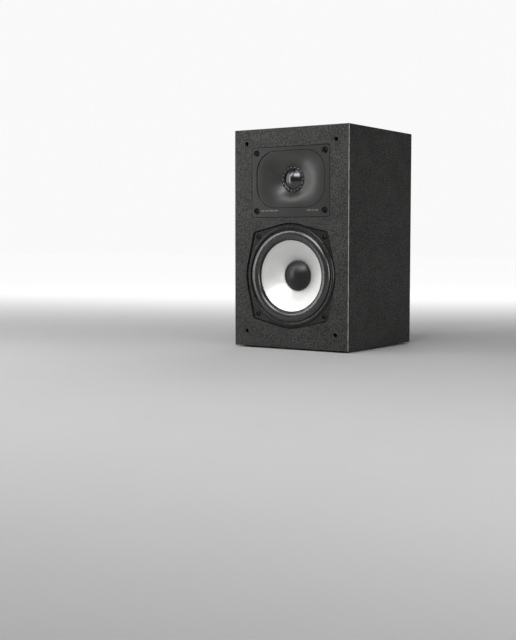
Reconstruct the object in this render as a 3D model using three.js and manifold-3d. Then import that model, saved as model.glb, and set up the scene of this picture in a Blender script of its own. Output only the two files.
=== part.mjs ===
// Two-way bookshelf loudspeaker: a wrapped board cabinet, a 130 mm woofer, a 25 mm dome tweeter in a shallow
// horn plate, a rear reflex port and a pair of screw-down terminals.
// Millimetres, +Z up, front towards -Y, right towards +X, origin on the resting plane under the cabinet's middle.

import * as THREE from 'three';
import { mergeVertices } from 'three/addons/utils/BufferGeometryUtils.js';
import Module from 'manifold-3d';

const wasm = await Module();
wasm.setup();

// ------------------------------------------------------------------------------------------------
// Driving dimensions. A depth is measured backwards from the baffle's front face.

const GAP = 0.3; // clearance kept between neighbouring pieces
const PROUD = 1.5; // how far the surround's roll and the rear flanges stand out of the cabinet

const CABINET = { width: 167, height: 273, depth: 165, wall: 12, baffle: 15 };
const FOOT = { radius: 7, height: 2, x: 68, y: 66 };
const SOCKET = { x: 65.1, low: 18.8, high: 255, hole: 2.5, barrel: 4, rim: 4.75, length: 11 };
const SCREW = { shank: 1.5, length: 15, recess: 1.3, recessDepth: 1.1, round: 0.7 };

const WOOFER = {
  z: 90,
  frame: 64.3,
  ear: { at: 51, radius: 3 },
  screw: 48.4,
  flangeDepth: 2,
  flange: 3.2,
  rebateGap: 1.3,
  rebate: 6.5,
  rim: { inner: 59, outer: 62.5, depth: 0.2 },
  ledge: 3.4,
  hole: 56,
  opening: 58.3,
  head: { depth: 0.1, radius: 3.2, height: 1.7 },
  gasket: { inner: 58.6, outer: 63, front: 5.5, back: 6.2 },
};
const DIAPHRAGM = { edge: 44.8, edgeDepth: 3.3, neck: 13.2, neckDepth: 25, cap: 19, capDepth: 18, wall: 0.8 };
const SURROUND = { inner: 45.8, outer: 57.4, lip: 58.7, lipDepth: 3, wall: 0.8 };
const BASKET = {
  back: 34,
  seat: 29.3,
  rear: 37.7,
  radius: 44,
  bore: 17,
  seatOuter: 42,
  seatInner: 38,
  step: 36,
  topInner: 55.3,
  topOuter: 57.6,
  spokes: 6,
  window: { across: 34, reach: 30, at: 54 },
};
const SPIDER = { inner: 13.3, outer: 41, depth: 28.2, firstRipple: 16, pitch: 2.3, ripples: 10, height: 1, wall: 0.5 };
const MAGNET_BORE = { woofer: 20, tweeter: 17 };
const STRIP = { x: 44, depth: 18.5, width: 1.6, length: 5, height: 14 };
const WOOFER_MOTOR = { front: 38, plate: 5, magnet: 15, plateRadius: 42, magnetRadius: 45, pole: 12.1, gap: 14 };
const WOOFER_COIL = { inner: 12.5, outer: 12.9, front: 24, back: 42, winding: 13.6, windingFront: 33 };

const TWEETER = {
  width: 113,
  low: 163,
  high: 249.3,
  z: 209.5,
  plate: 4,
  rebate: 5,
  gap: 0.35,
  screwX: 49.7,
  screwLow: 170.5,
  screwHigh: 242.5,
  counterbore: 4.2,
  counterboreDepth: 2.2,
  head: { depth: 0.5, radius: 2.9, height: 1.5 },
};
const HORN = { halfWidth: 50, halfHeight: 35.5, corner: 27, throat: 16.5, depth: 7, flare: 2.4, wall: 2.2, back: 8.7 };
const DOME = { radius: 12.5, height: 4.3, depth: 7.9, wall: 0.4 };
const DOME_RING = { inner: 13, outer: 16.2, depth: 6.8, thickness: 0.9, notches: 18, notchRadius: 14.5 };
const TWEETER_COIL = { inner: 12, outer: 12.6, front: 8.7, back: 12.6 };
const TWEETER_MOTOR = { front: 9, plate: 4, magnet: 12, plateRadius: 30, magnetRadius: 33, pole: 11.5, gap: 13.1 };

const PORT = { z: 205, bore: 19, wall: 2.5, flare: 25, flange: 33, length: 100, flareLength: 8 };
const CUP = { z: 95, width: 80, height: 64, recessWidth: 62, recessHeight: 46, depth: 22, wall: 2 };
const POST = {
  x: 14,
  collar: 6,
  collarHeight: 3,
  stud: 3,
  bore: 2.05,
  boreDepth: 13,
  length: 17.5,
  tail: 9,
  insert: 4.4,
  cap: 6.8,
  capLength: 14.5,
  ribs: 14,
};

const BOARD = { width: 96, depth: 62, thickness: 1.6, standoff: 6, y: 26 };
const INDUCTOR = { x: -24, y: 28, outer: 17, inner: 8, height: 15 };
const CAPACITOR = { x: 22, y: 14, radius: 8, length: 34 };
const RESISTOR = { x: 22, y: 38, width: 34, depth: 9, height: 9 };
const WADDING = { thickness: 16, front: -50, back: 68 };
const WIRE = { radius: 1.4 };
const TINSEL = { radius: 0.6, z: 4 };

const FRONT = -CABINET.depth / 2;
const BACK = CABINET.depth / 2;
const BOTTOM = FOOT.height;
const TOP = BOTTOM + CABINET.height;
const HALF_WIDTH = CABINET.width / 2;
const WOOFER_Z = BOTTOM + WOOFER.z;
const TWEETER_Z = BOTTOM + TWEETER.z;
const PORT_Z = BOTTOM + PORT.z;
const CUP_Z = BOTTOM + CUP.z;

const FINE = 36; // facets round the large visible rings
const MEDIUM = 20;
const COARSE = 14;
const TINY = 10;

// ------------------------------------------------------------------------------------------------
// Finishes

const finish = (color, roughness, metalness = 0) => new THREE.MeshStandardMaterial({ color, roughness, metalness });

const VINYL = finish('#3a3a39', 0.62);
const HORN_PLASTIC = finish('#3d3d3c', 0.5);
const FRAME_PLASTIC = finish('#1c1c1c', 0.4);
const RUBBER = finish('#161616', 0.5);
const CONE = finish('#dcdcda', 0.35);
const DUST_CAP = finish('#2b2b2b', 0.6);
const SILK = finish('#121212', 0.25);
const SCREW_STEEL = finish('#1a1a1a', 0.4, 1);
const ZINC_STEEL = finish('#9a9c9e', 0.35, 1);
const FERRITE = finish('#2a2a2c', 0.7);
const COPPER = finish('#b0683a', 0.35, 1);
const GOLD_PLATE = finish('#caa45a', 0.25, 1);
const RED_PLASTIC = finish('#a01616', 0.35);
const BLACK_PLASTIC = finish('#141414', 0.45);
const CLOTH = finish('#a88646', 0.9);
const FOAM = finish('#1d1d1d', 0.95);
const POLYESTER = finish('#d8d8d4', 0.95);
const LAMINATE = finish('#7d6a3a', 0.6);
const FILM = finish('#b9a23c', 0.4);
const CERAMIC = finish('#d9d6cc', 0.8);

// ------------------------------------------------------------------------------------------------
// Geometry helpers

// Merges shared vertices, drops slivers and turns the faces out.
function welded(geometry) {
  const bare = geometry.clone();
  Object.keys(bare.attributes)
    .filter((name) => name !== 'position')
    .forEach((name) => bare.deleteAttribute(name));
  const merged = mergeVertices(bare, 1e-4);
  const index = merged.index.array;
  const position = merged.getAttribute('position');
  const corner = [new THREE.Vector3(), new THREE.Vector3(), new THREE.Vector3()];
  const kept = [];
  let volume = 0;
  for (let i = 0; i < index.length; i += 3) {
    const [a, b, c] = [index[i], index[i + 1], index[i + 2]];
    if (a === b || b === c || c === a) continue;
    [a, b, c].forEach((vertex, k) => corner[k].fromBufferAttribute(position, vertex));
    volume += corner[0].dot(corner[1].clone().cross(corner[2]));
    kept.push(a, b, c);
  }
  if (volume < 0) {
    for (let i = 0; i < kept.length; i += 3) [kept[i], kept[i + 1]] = [kept[i + 1], kept[i]];
  }
  merged.setIndex(kept);
  return merged;
}

function solid(geometry) {
  const merged = welded(geometry);
  return new wasm.Manifold(
    new wasm.Mesh({
      numProp: 3,
      vertProperties: Float32Array.from(merged.getAttribute('position').array),
      triVerts: Uint32Array.from(merged.index.array),
    }),
  );
}

function fromSolid(manifold) {
  const mesh = manifold.getMesh();
  const geometry = new THREE.BufferGeometry();
  geometry.setAttribute('position', new THREE.BufferAttribute(mesh.vertProperties, 3));
  geometry.setIndex(new THREE.BufferAttribute(mesh.triVerts, 1));
  return geometry;
}

function carve(geometry, added, removed) {
  const joined = added.reduce((whole, piece) => whole.add(solid(piece)), solid(geometry));
  return fromSolid(removed.reduce((whole, piece) => whole.subtract(solid(piece)), joined));
}

// Points of an arc, angles in degrees, both ends included.
function arc(x, z, radius, from, to, steps) {
  return Array.from({ length: steps + 1 }, (_, i) => {
    const angle = THREE.MathUtils.degToRad(from + ((to - from) * i) / steps);
    return new THREE.Vector2(x + radius * Math.cos(angle), z + radius * Math.sin(angle));
  });
}

const circle = (x, z, radius, steps) => arc(x, z, radius, 0, 360, steps).slice(0, -1);

function roundedRectangle(x, z, width, height, radius, steps = 3) {
  const [dx, dz] = [width / 2 - radius, height / 2 - radius];
  return [
    ...arc(x + dx, z + dz, radius, 0, 90, steps),
    ...arc(x - dx, z + dz, radius, 90, 180, steps),
    ...arc(x - dx, z - dz, radius, 180, 270, steps),
    ...arc(x + dx, z - dz, radius, 270, 360, steps),
  ];
}

// A flat outline in the XZ plane with holes, from one Y to another.
function plate(outline, holes, nearY, farY) {
  const shape = new THREE.Shape(outline);
  shape.holes = holes.map((hole) => new THREE.Path(hole));
  const geometry = new THREE.ExtrudeGeometry(shape, { depth: farY - nearY, bevelEnabled: false });
  return geometry.rotateX(Math.PI / 2).translate(0, farY, 0);
}

const platePast = (outline, holes, depth, thickness) =>
  plate(outline, holes, FRONT + depth, FRONT + depth + thickness);

// A profile of [radius, y] turned about a line along Y through x, z.
function turnedAt(profile, x, z, segments, closed = true) {
  const points = profile.map(([radius, y]) => new THREE.Vector2(radius, y));
  if (closed) points.push(points[0].clone());
  return new THREE.LatheGeometry(points, segments).translate(x, 0, z);
}

// The same with [radius, depth behind the baffle's face].
const turned = (profile, x, z, segments, closed = true) =>
  turnedAt(profile.map(([radius, depth]) => [radius, FRONT + depth]), x, z, segments, closed);

// A wall of even thickness along a line of [radius, depth] points; its back side is shifted in depth.
function membrane(line, wall) {
  const back = line.map(([radius, depth]) => [radius, depth + wall]).reverse();
  return [...line, ...back];
}

const ringProfile = (inner, outer, front, back) => [
  [inner, front],
  [outer, front],
  [outer, back],
  [inner, back],
];

function tube(points, radius, sides, steps) {
  const section = new THREE.Shape(circle(0, 0, radius, sides));
  const path = new THREE.CatmullRomCurve3(points.map(([x, y, z]) => new THREE.Vector3(x, y, z)));
  return new THREE.ExtrudeGeometry(section, { steps, bevelEnabled: false, extrudePath: path });
}

// A closed skin through rings of equal point count, flat at both ends.
function loft(rings) {
  const count = rings[0].length;
  const middle = (ring) => ring.reduce((sum, p) => sum.add(p), new THREE.Vector3()).divideScalar(count);
  const points = [...rings.flat(), middle(rings[0]), middle(rings.at(-1))];
  const index = [];
  for (let k = 0; k < count; k += 1) {
    const next = (k + 1) % count;
    rings.slice(1).forEach((_, r) => {
      const [a, b, c, d] = [r * count + k, r * count + next, (r + 1) * count + next, (r + 1) * count + k];
      index.push(a, b, c, a, c, d);
    });
    const last = (rings.length - 1) * count;
    index.push(points.length - 2, next, k, points.length - 1, last + k, last + next);
  }
  const geometry = new THREE.BufferGeometry().setFromPoints(points);
  geometry.setIndex(index);
  return geometry;
}

const speaker = new THREE.Group();

function addPiece(name, geometry, material) {
  const clean = welded(geometry);
  clean.computeVertexNormals();
  const mesh = new THREE.Mesh(clean, material);
  mesh.name = name;
  speaker.add(mesh);
}

// The four corners as [name, sign of x, sign of z or y].
const CORNERS = [
  ['left_lower', -1, -1],
  ['right_lower', 1, -1],
  ['left_upper', -1, 1],
  ['right_upper', 1, 1],
];

// ------------------------------------------------------------------------------------------------
// Outlines shared by a piece and the recess that takes it

// The woofer frame: a circle drawn out by straight tangents to four rounded ears.
function earedOutline(grow, steps = 6) {
  const reach = WOOFER.ear.at * Math.SQRT2;
  const lean = THREE.MathUtils.radToDeg(Math.acos((WOOFER.frame - WOOFER.ear.radius) / reach));
  const outline = [];
  for (const ear of [45, 135, 225, 315]) {
    const angle = THREE.MathUtils.degToRad(ear);
    const [x, z] = [reach * Math.cos(angle), WOOFER_Z + reach * Math.sin(angle)];
    outline.push(...arc(x, z, WOOFER.ear.radius + grow, ear - lean, ear + lean, 4));
    outline.push(...arc(0, WOOFER_Z, WOOFER.frame + grow, ear + lean, ear + 90 - lean, steps));
  }
  return outline;
}

const tweeterPlateOutline = (grow) =>
  roundedRectangle(
    0,
    BOTTOM + (TWEETER.low + TWEETER.high) / 2,
    TWEETER.width + 2 * grow,
    TWEETER.high - TWEETER.low + 2 * grow,
    1.5 + grow,
    2,
  );

const hornClearance = (grow) =>
  roundedRectangle(
    0,
    TWEETER_Z,
    2 * (HORN.halfWidth + HORN.wall + grow),
    2 * (HORN.halfHeight + HORN.wall + grow),
    HORN.corner,
    6,
  );

// Distance from the horn's axis to its mouth's rounded rectangle in one direction.
function mouthRadius(angle, grow) {
  const [c, s] = [Math.abs(Math.cos(angle)), Math.abs(Math.sin(angle))];
  const [a, b] = [HORN.halfWidth + grow, HORN.halfHeight + grow];
  const radius = HORN.corner + grow;
  if ((a / c) * s <= b - radius) return a / c;
  if ((b / s) * c <= a - radius) return b / s;
  const along = c * (a - radius) + s * (b - radius);
  return along + Math.sqrt(along ** 2 - (a - radius) ** 2 - (b - radius) ** 2 + radius ** 2);
}

// One ring of the horn between its mouth (share 0) and its throat (share 1).
function hornRing(share, depth, grow) {
  return Array.from({ length: FINE }, (_, k) => {
    const angle = (2 * Math.PI * k) / FINE;
    const radius = THREE.MathUtils.lerp(mouthRadius(angle, grow), HORN.throat + grow, share);
    return new THREE.Vector3(radius * Math.cos(angle), FRONT + depth, TWEETER_Z + radius * Math.sin(angle));
  });
}

function hornSkin(grow, deeper, leadIn, leadOut) {
  const shares = [0, 0.35, 0.6, 0.8, 1];
  const rings = shares.map((share) => hornRing(share, deeper + HORN.depth * share ** HORN.flare, grow));
  return loft([hornRing(0, leadIn, grow), ...rings, hornRing(1, leadOut, grow)]);
}

const wooferScrewAt = ([, sx, sz]) => [sx * WOOFER.screw, WOOFER_Z + sz * WOOFER.screw];
const tweeterScrewAt = ([, sx, sz]) => [
  sx * TWEETER.screwX,
  BOTTOM + (sz < 0 ? TWEETER.screwLow : TWEETER.screwHigh),
];
const socketAt = ([, sx, sz]) => [sx * SOCKET.x, BOTTOM + (sz < 0 ? SOCKET.low : SOCKET.high)];

// ------------------------------------------------------------------------------------------------
// Cabinet

function frontBaffle() {
  const outline = roundedRectangle(0, (BOTTOM + TOP) / 2, CABINET.width, CABINET.height, 0.6, 1);
  const pilot = SCREW.shank + GAP;
  const holes = [
    circle(0, WOOFER_Z, WOOFER.opening, FINE),
    hornClearance(GAP),
    ...CORNERS.map((corner) => circle(...socketAt(corner), SOCKET.barrel + GAP, TINY)),
    ...CORNERS.map((corner) => circle(...wooferScrewAt(corner), pilot, 8)),
    ...CORNERS.map((corner) => circle(...tweeterScrewAt(corner), pilot, 8)),
  ];
  const rebates = [
    plate(earedOutline(WOOFER.rebateGap), [], FRONT - 1, FRONT + WOOFER.rebate),
    plate(tweeterPlateOutline(TWEETER.gap), [], FRONT - 1, FRONT + TWEETER.rebate),
    ...CORNERS.map((corner) => plate(circle(...socketAt(corner), SOCKET.rim + GAP, TINY), [], FRONT - 1, FRONT + 0.8)),
  ];
  return carve(platePast(outline, holes, 0, CABINET.baffle), [], rebates);
}

// A wall of the folded box: a bar with mitred ends, running from the baffle to the back.
function mitredWall(outer, inner) {
  const outline = [...outer, ...inner].map(([x, z]) => new THREE.Vector2(x, z));
  return plate(outline, [], FRONT + CABINET.baffle + GAP, BACK);
}

function addCabinet() {
  const wall = CABINET.wall;
  const [x, low, high] = [HALF_WIDTH, BOTTOM, TOP];
  addPiece('front_baffle', frontBaffle(), VINYL);
  addPiece(
    'top_panel',
    mitredWall([[-x + GAP, high], [x - GAP, high]], [[x - wall - GAP, high - wall], [wall + GAP - x, high - wall]]),
    VINYL,
  );
  addPiece(
    'bottom_panel',
    mitredWall([[x - GAP, low], [-x + GAP, low]], [[wall + GAP - x, low + wall], [x - wall - GAP, low + wall]]),
    VINYL,
  );
  addPiece('left_panel', mitredWall([[-x, low], [-x, high]], [[wall - x, high - wall], [wall - x, low + wall]]), VINYL);
  addPiece('right_panel', mitredWall([[x, high], [x, low]], [[x - wall, low + wall], [x - wall, high - wall]]), VINYL);

  const inset = 2 * (wall + GAP);
  const rear = roundedRectangle(0, (low + high) / 2, CABINET.width - inset, CABINET.height - inset, 0.6, 1);
  const portHole = circle(0, PORT_Z, PORT.flare + PORT.wall + GAP, MEDIUM);
  const cupWall = 2 * (CUP.wall + GAP);
  const cupHole = roundedRectangle(0, CUP_Z, CUP.recessWidth + cupWall, CUP.recessHeight + cupWall, 5);
  addPiece('rear_panel', plate(rear, [portHole, cupHole], BACK - wall, BACK), VINYL);

  const wadding = roundedRectangle(
    0,
    TOP - wall - GAP - WADDING.thickness / 2,
    CABINET.width - 2 * wall - 4,
    WADDING.thickness,
    5,
  );
  addPiece('damping_wadding', plate(wadding, [], WADDING.front, WADDING.back), POLYESTER);

  for (const [name, sx, sy] of [
    ['front_left', -1, -1],
    ['front_right', 1, -1],
    ['rear_left', -1, 1],
    ['rear_right', 1, 1],
  ]) {
    const foot = new THREE.CylinderGeometry(FOOT.radius, FOOT.radius - 0.4, FOOT.height, COARSE);
    foot.rotateX(Math.PI / 2).translate(sx * FOOT.x, sy * FOOT.y, FOOT.height / 2);
    addPiece(`foot_${name}`, foot, RUBBER);
  }

  for (const corner of CORNERS) {
    const profile = [
      [0, SOCKET.length - 1.2],
      [SOCKET.hole, SOCKET.length - 1.2],
      [SOCKET.hole, 0.4],
      [SOCKET.hole + 0.5, -0.2],
      [SOCKET.rim - 0.4, -0.2],
      [SOCKET.rim, 0.1],
      [SOCKET.rim, 0.5],
      [SOCKET.barrel, 0.5],
      [SOCKET.barrel, SOCKET.length],
      [0, SOCKET.length],
    ];
    addPiece(`grille_socket_${corner[0]}`, turned(profile, ...socketAt(corner), TINY, false), RUBBER);
  }
}

// A pan-head screw whose head's top lies at the given depth.
function screwGeometry([x, z], { depth, radius, height }) {
  const under = depth + height;
  const profile = [
    [0, depth + SCREW.recessDepth],
    [SCREW.recess - 0.1, depth + SCREW.recessDepth],
    [SCREW.recess, depth],
    [radius - SCREW.round, depth],
    [radius, depth + SCREW.round],
    [radius, under],
    [SCREW.shank, under],
    [SCREW.shank, under + SCREW.length - 2.5],
    [0, under + SCREW.length],
  ];
  return turned(profile, x, z, TINY, false);
}

// ------------------------------------------------------------------------------------------------
// Woofer

function wooferFrame() {
  const { flangeDepth, flange, rim, ledge, hole } = WOOFER;
  const flangeBack = flangeDepth + flange;
  const basketTop = flangeBack - 0.4;
  const earPlate = platePast(earedOutline(0), [circle(0, WOOFER_Z, hole, FINE)], flangeDepth, flange);
  const ridge = turned(
    [
      [rim.inner, flangeDepth + 0.5],
      [rim.inner, rim.depth + 0.4],
      [rim.inner + 0.5, rim.depth],
      [rim.outer - 0.6, rim.depth],
      [rim.outer, rim.depth + 0.5],
      [rim.outer + 0.4, flangeDepth + 0.5],
    ],
    0,
    WOOFER_Z,
    FINE,
  );
  const basket = turned(
    [
      [BASKET.topInner, basketTop],
      [BASKET.seatOuter, BASKET.seat],
      [BASKET.seatInner, BASKET.seat],
      [BASKET.step, BASKET.back],
      [BASKET.bore, BASKET.back],
      [BASKET.bore, BASKET.rear],
      [BASKET.radius, BASKET.rear],
      [BASKET.radius, BASKET.back - 2],
      [BASKET.topOuter, basketTop],
    ],
    0,
    WOOFER_Z,
    FINE,
  );
  const seat = turned([[0, -1], [rim.inner, -1], [rim.inner, ledge], [0, ledge]], 0, WOOFER_Z, FINE, false);
  const windows = Array.from({ length: BASKET.spokes }, (_, k) => {
    const { across, reach, at } = BASKET.window;
    const window = new THREE.BoxGeometry(reach, BASKET.seat - flangeBack - 6, across);
    window.translate(at, FRONT + (BASKET.seat + flangeBack) / 2, 0);
    return window.rotateY((2 * Math.PI * (k + 0.5)) / BASKET.spokes).translate(0, 0, WOOFER_Z);
  });
  const screwHoles = CORNERS.map((corner) =>
    plate(circle(...wooferScrewAt(corner), SCREW.shank + 0.6, 10), [], FRONT, FRONT + flangeBack + 1),
  );
  return carve(earPlate, [ridge, basket], [seat, ...windows, ...screwHoles]);
}

// The half-roll and its two glued lips, front side.
function surroundLine() {
  const { inner, outer, lip, lipDepth, wall } = SURROUND;
  const [middle, half] = [(inner + outer) / 2, (outer - inner) / 2];
  const rise = lipDepth - wall + PROUD;
  const facets = 7;
  const roll = Array.from({ length: facets + 1 }, (_, i) => {
    const angle = Math.PI * (1 - i / facets);
    return [middle + half * Math.cos(angle), lipDepth - wall - rise * Math.sin(angle)];
  });
  return [[inner - 1.6, lipDepth - wall], ...roll, [lip, lipDepth - wall]];
}

// The cone's front side from its edge to its neck, steeper towards the neck.
function coneLine() {
  const { edge, edgeDepth, neck, neckDepth } = DIAPHRAGM;
  const curve = new THREE.QuadraticBezierCurve(
    new THREE.Vector2(edge, edgeDepth),
    new THREE.Vector2(22, 14),
    new THREE.Vector2(neck, neckDepth),
  );
  return curve.getPoints(5).map((point) => [point.x, point.y]);
}

function domeLine(radius, height, rimDepth, steps = 4) {
  const sphere = (radius ** 2 + height ** 2) / (2 * height);
  const reach = Math.asin(radius / sphere);
  return Array.from({ length: steps + 1 }, (_, i) => {
    const angle = (reach * i) / steps;
    return [sphere * Math.sin(angle), rimDepth - height + sphere * (1 - Math.cos(angle))];
  });
}

function addWoofer() {
  const add = (name, profile, material, segments, closed = true) =>
    addPiece(`woofer_${name}`, turned(profile, 0, WOOFER_Z, segments, closed), material);

  addPiece('woofer_frame', wooferFrame(), FRAME_PLASTIC);
  const seal = WOOFER.gasket;
  add('gasket', ringProfile(seal.inner, seal.outer, seal.front, seal.back), FOAM, MEDIUM);
  add('surround', membrane(surroundLine(), SURROUND.wall - 0.1), RUBBER, FINE);
  add('cone', membrane(coneLine(), DIAPHRAGM.wall), CONE, FINE);

  const capFront = domeLine(DIAPHRAGM.cap - 2.5, 5.6, DIAPHRAGM.capDepth - 0.6);
  const capEdge = [[DIAPHRAGM.cap - 1, DIAPHRAGM.capDepth - 0.6], [DIAPHRAGM.cap - 0.8, DIAPHRAGM.capDepth - 0.1]];
  add('dust_cap', membrane([...capFront, ...capEdge], 0.5), DUST_CAP, MEDIUM, false);

  const { inner, outer, front, back, winding, windingFront } = WOOFER_COIL;
  add('coil_former', ringProfile(inner, outer, front, back), COPPER, MEDIUM);
  add('coil_winding', ringProfile(outer + 0.1, winding, windingFront, back - 1), COPPER, MEDIUM);

  const ripple = Array.from({ length: SPIDER.ripples }, (_, i) => [
    SPIDER.firstRipple + i * SPIDER.pitch,
    SPIDER.depth + (i % 2 ? -SPIDER.height : SPIDER.height),
  ]);
  const spiderLine = [[SPIDER.inner, SPIDER.depth], ...ripple, [SPIDER.outer, SPIDER.depth]];
  add('spider', membrane(spiderLine, SPIDER.wall), CLOTH, MEDIUM);

  const motor = WOOFER_MOTOR;
  const plateBack = motor.front + motor.plate;
  const magnetFront = plateBack + GAP;
  const magnetBack = magnetFront + motor.magnet;
  const yokeFront = magnetBack + GAP;
  const yokeBack = yokeFront + motor.plate;
  add('top_plate', ringProfile(motor.gap, motor.plateRadius, motor.front, plateBack), ZINC_STEEL, MEDIUM);
  add('magnet', ringProfile(MAGNET_BORE.woofer, motor.magnetRadius, magnetFront, magnetBack), FERRITE, MEDIUM);
  add(
    'yoke',
    [
      [0, motor.front],
      [motor.pole, motor.front],
      [motor.pole, yokeFront],
      [motor.plateRadius - 1, yokeFront],
      [motor.plateRadius - 2, yokeBack],
      [0, yokeBack],
    ],
    ZINC_STEEL,
    MEDIUM,
    false,
  );

  const strip = new THREE.BoxGeometry(STRIP.width, STRIP.length, STRIP.height);
  addPiece('woofer_terminal_strip', strip.translate(STRIP.x, FRONT + STRIP.depth, WOOFER_Z), LAMINATE);
  for (const [name, side] of [['lower', -1], ['upper', 1]]) {
    const z = WOOFER_Z + side * TINSEL.z;
    const route = [
      [42.8, FRONT + 18.6, z],
      [38, FRONT + 22.6, z],
      [31, FRONT + 21.8, z],
      [25.8, FRONT + 17, z],
    ];
    addPiece(`woofer_tinsel_lead_${name}`, tube(route, TINSEL.radius, 5, 6), COPPER);
  }
  for (const corner of CORNERS) {
    addPiece(`woofer_screw_${corner[0]}`, screwGeometry(wooferScrewAt(corner), WOOFER.head), SCREW_STEEL);
  }
}

// ------------------------------------------------------------------------------------------------
// Tweeter

function hornPlate() {
  const base = platePast(tweeterPlateOutline(0), [], 0, TWEETER.plate);
  const backDisc = platePast(circle(0, TWEETER_Z, TWEETER_MOTOR.magnetRadius, MEDIUM), [], 6.5, HORN.back - 6.5);
  const outer = hornSkin(HORN.wall, HORN.back - HORN.depth, 1, HORN.back);
  const inner = hornSkin(0, 0, -1, HORN.back + 4);
  const screwCuts = CORNERS.flatMap((corner) => [
    plate(circle(...tweeterScrewAt(corner), SCREW.shank + 0.4, 10), [], FRONT - 1, FRONT + TWEETER.plate + 1),
    plate(circle(...tweeterScrewAt(corner), TWEETER.counterbore, TINY), [], FRONT - 1, FRONT + TWEETER.counterboreDepth),
  ]);
  return carve(base, [outer, backDisc], [inner, ...screwCuts]);
}

function addTweeter() {
  const add = (name, profile, material, segments, closed = true) =>
    addPiece(`tweeter_${name}`, turned(profile, 0, TWEETER_Z, segments, closed), material);

  addPiece('tweeter_horn_plate', hornPlate(), HORN_PLASTIC);
  const shanks = CORNERS.map((corner) => circle(...tweeterScrewAt(corner), SCREW.shank + 0.4, 8));
  const gasket = platePast(tweeterPlateOutline(-0.5), [hornClearance(GAP), ...shanks], 4.2, 0.6);
  addPiece('tweeter_gasket', gasket, FOAM);

  const { radius, height, depth, wall } = DOME;
  add('dome', membrane(domeLine(radius, height, depth), wall), SILK, MEDIUM, false);
  const roll = [[radius + 0.3, depth + 0.3], [13.3, 8], [14.2, 7.9], [15, 8], [15.6, 8.3], [16.2, 8.3]];
  add('dome_surround', membrane(roll, 0.3), SILK, MEDIUM);
  const coil = TWEETER_COIL;
  add('voice_coil', ringProfile(coil.inner, coil.outer, coil.front, coil.back), COPPER, MEDIUM);

  const { inner, outer, depth: ringDepth, thickness, notches, notchRadius } = DOME_RING;
  const slots = Array.from({ length: notches }, (_, k) => {
    const angle = (2 * Math.PI * k) / notches;
    const [c, s] = [Math.cos(angle), Math.sin(angle)];
    const corner = (across, along) =>
      new THREE.Vector2(
        (notchRadius + along) * c - across * s,
        TWEETER_Z + (notchRadius + along) * s + across * c,
      );
    return [corner(-0.5, -0.35), corner(0.5, -0.35), corner(0.5, 0.35), corner(-0.5, 0.35)];
  });
  addPiece(
    'tweeter_notched_ring',
    platePast(
      circle(0, TWEETER_Z, outer, MEDIUM),
      [circle(0, TWEETER_Z, inner, MEDIUM), ...slots],
      ringDepth,
      thickness,
    ),
    FRAME_PLASTIC,
  );

  const motor = TWEETER_MOTOR;
  const plateBack = motor.front + motor.plate;
  const magnetFront = plateBack + GAP;
  const magnetBack = magnetFront + motor.magnet;
  const yokeFront = magnetBack + GAP;
  const yokeBack = yokeFront + motor.plate;
  add('top_plate', ringProfile(motor.gap, motor.plateRadius, motor.front, plateBack), ZINC_STEEL, MEDIUM);
  add('magnet', ringProfile(MAGNET_BORE.tweeter, motor.magnetRadius, magnetFront, magnetBack), FERRITE, MEDIUM);
  add(
    'yoke',
    [
      [0, motor.front + 0.3],
      [motor.pole, motor.front + 0.3],
      [motor.pole, yokeFront],
      [motor.plateRadius - 1, yokeFront],
      [motor.plateRadius - 2, yokeBack],
      [0, yokeBack],
    ],
    ZINC_STEEL,
    MEDIUM,
    false,
  );
  for (const corner of CORNERS) {
    addPiece(`tweeter_screw_${corner[0]}`, screwGeometry(tweeterScrewAt(corner), TWEETER.head), SCREW_STEEL);
  }
}

// ------------------------------------------------------------------------------------------------
// Rear: reflex port and terminals

function addPort() {
  const { bore, wall, flare, flange, length, flareLength } = PORT;
  const face = BACK + PROUD;
  const facets = 4;
  const mouth = Array.from({ length: facets + 1 }, (_, i) => {
    const angle = (Math.PI / 2) * (1 - i / facets);
    return [flare - (flare - bore) * Math.sin(angle), face - flareLength * (1 - Math.cos(angle))];
  });
  const profile = [
    [bore, face - length],
    ...mouth,
    [flange - 0.6, face],
    [flange, face - 0.6],
    [flange, BACK + 0.1],
    [flare + wall, BACK + 0.1],
    [flare + wall, BACK - 5],
    [bore + wall, BACK - 10],
    [bore + wall, face - length],
  ];
  addPiece('port_tube', turnedAt(profile, 0, PORT_Z, MEDIUM), BLACK_PLASTIC);
}

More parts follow.
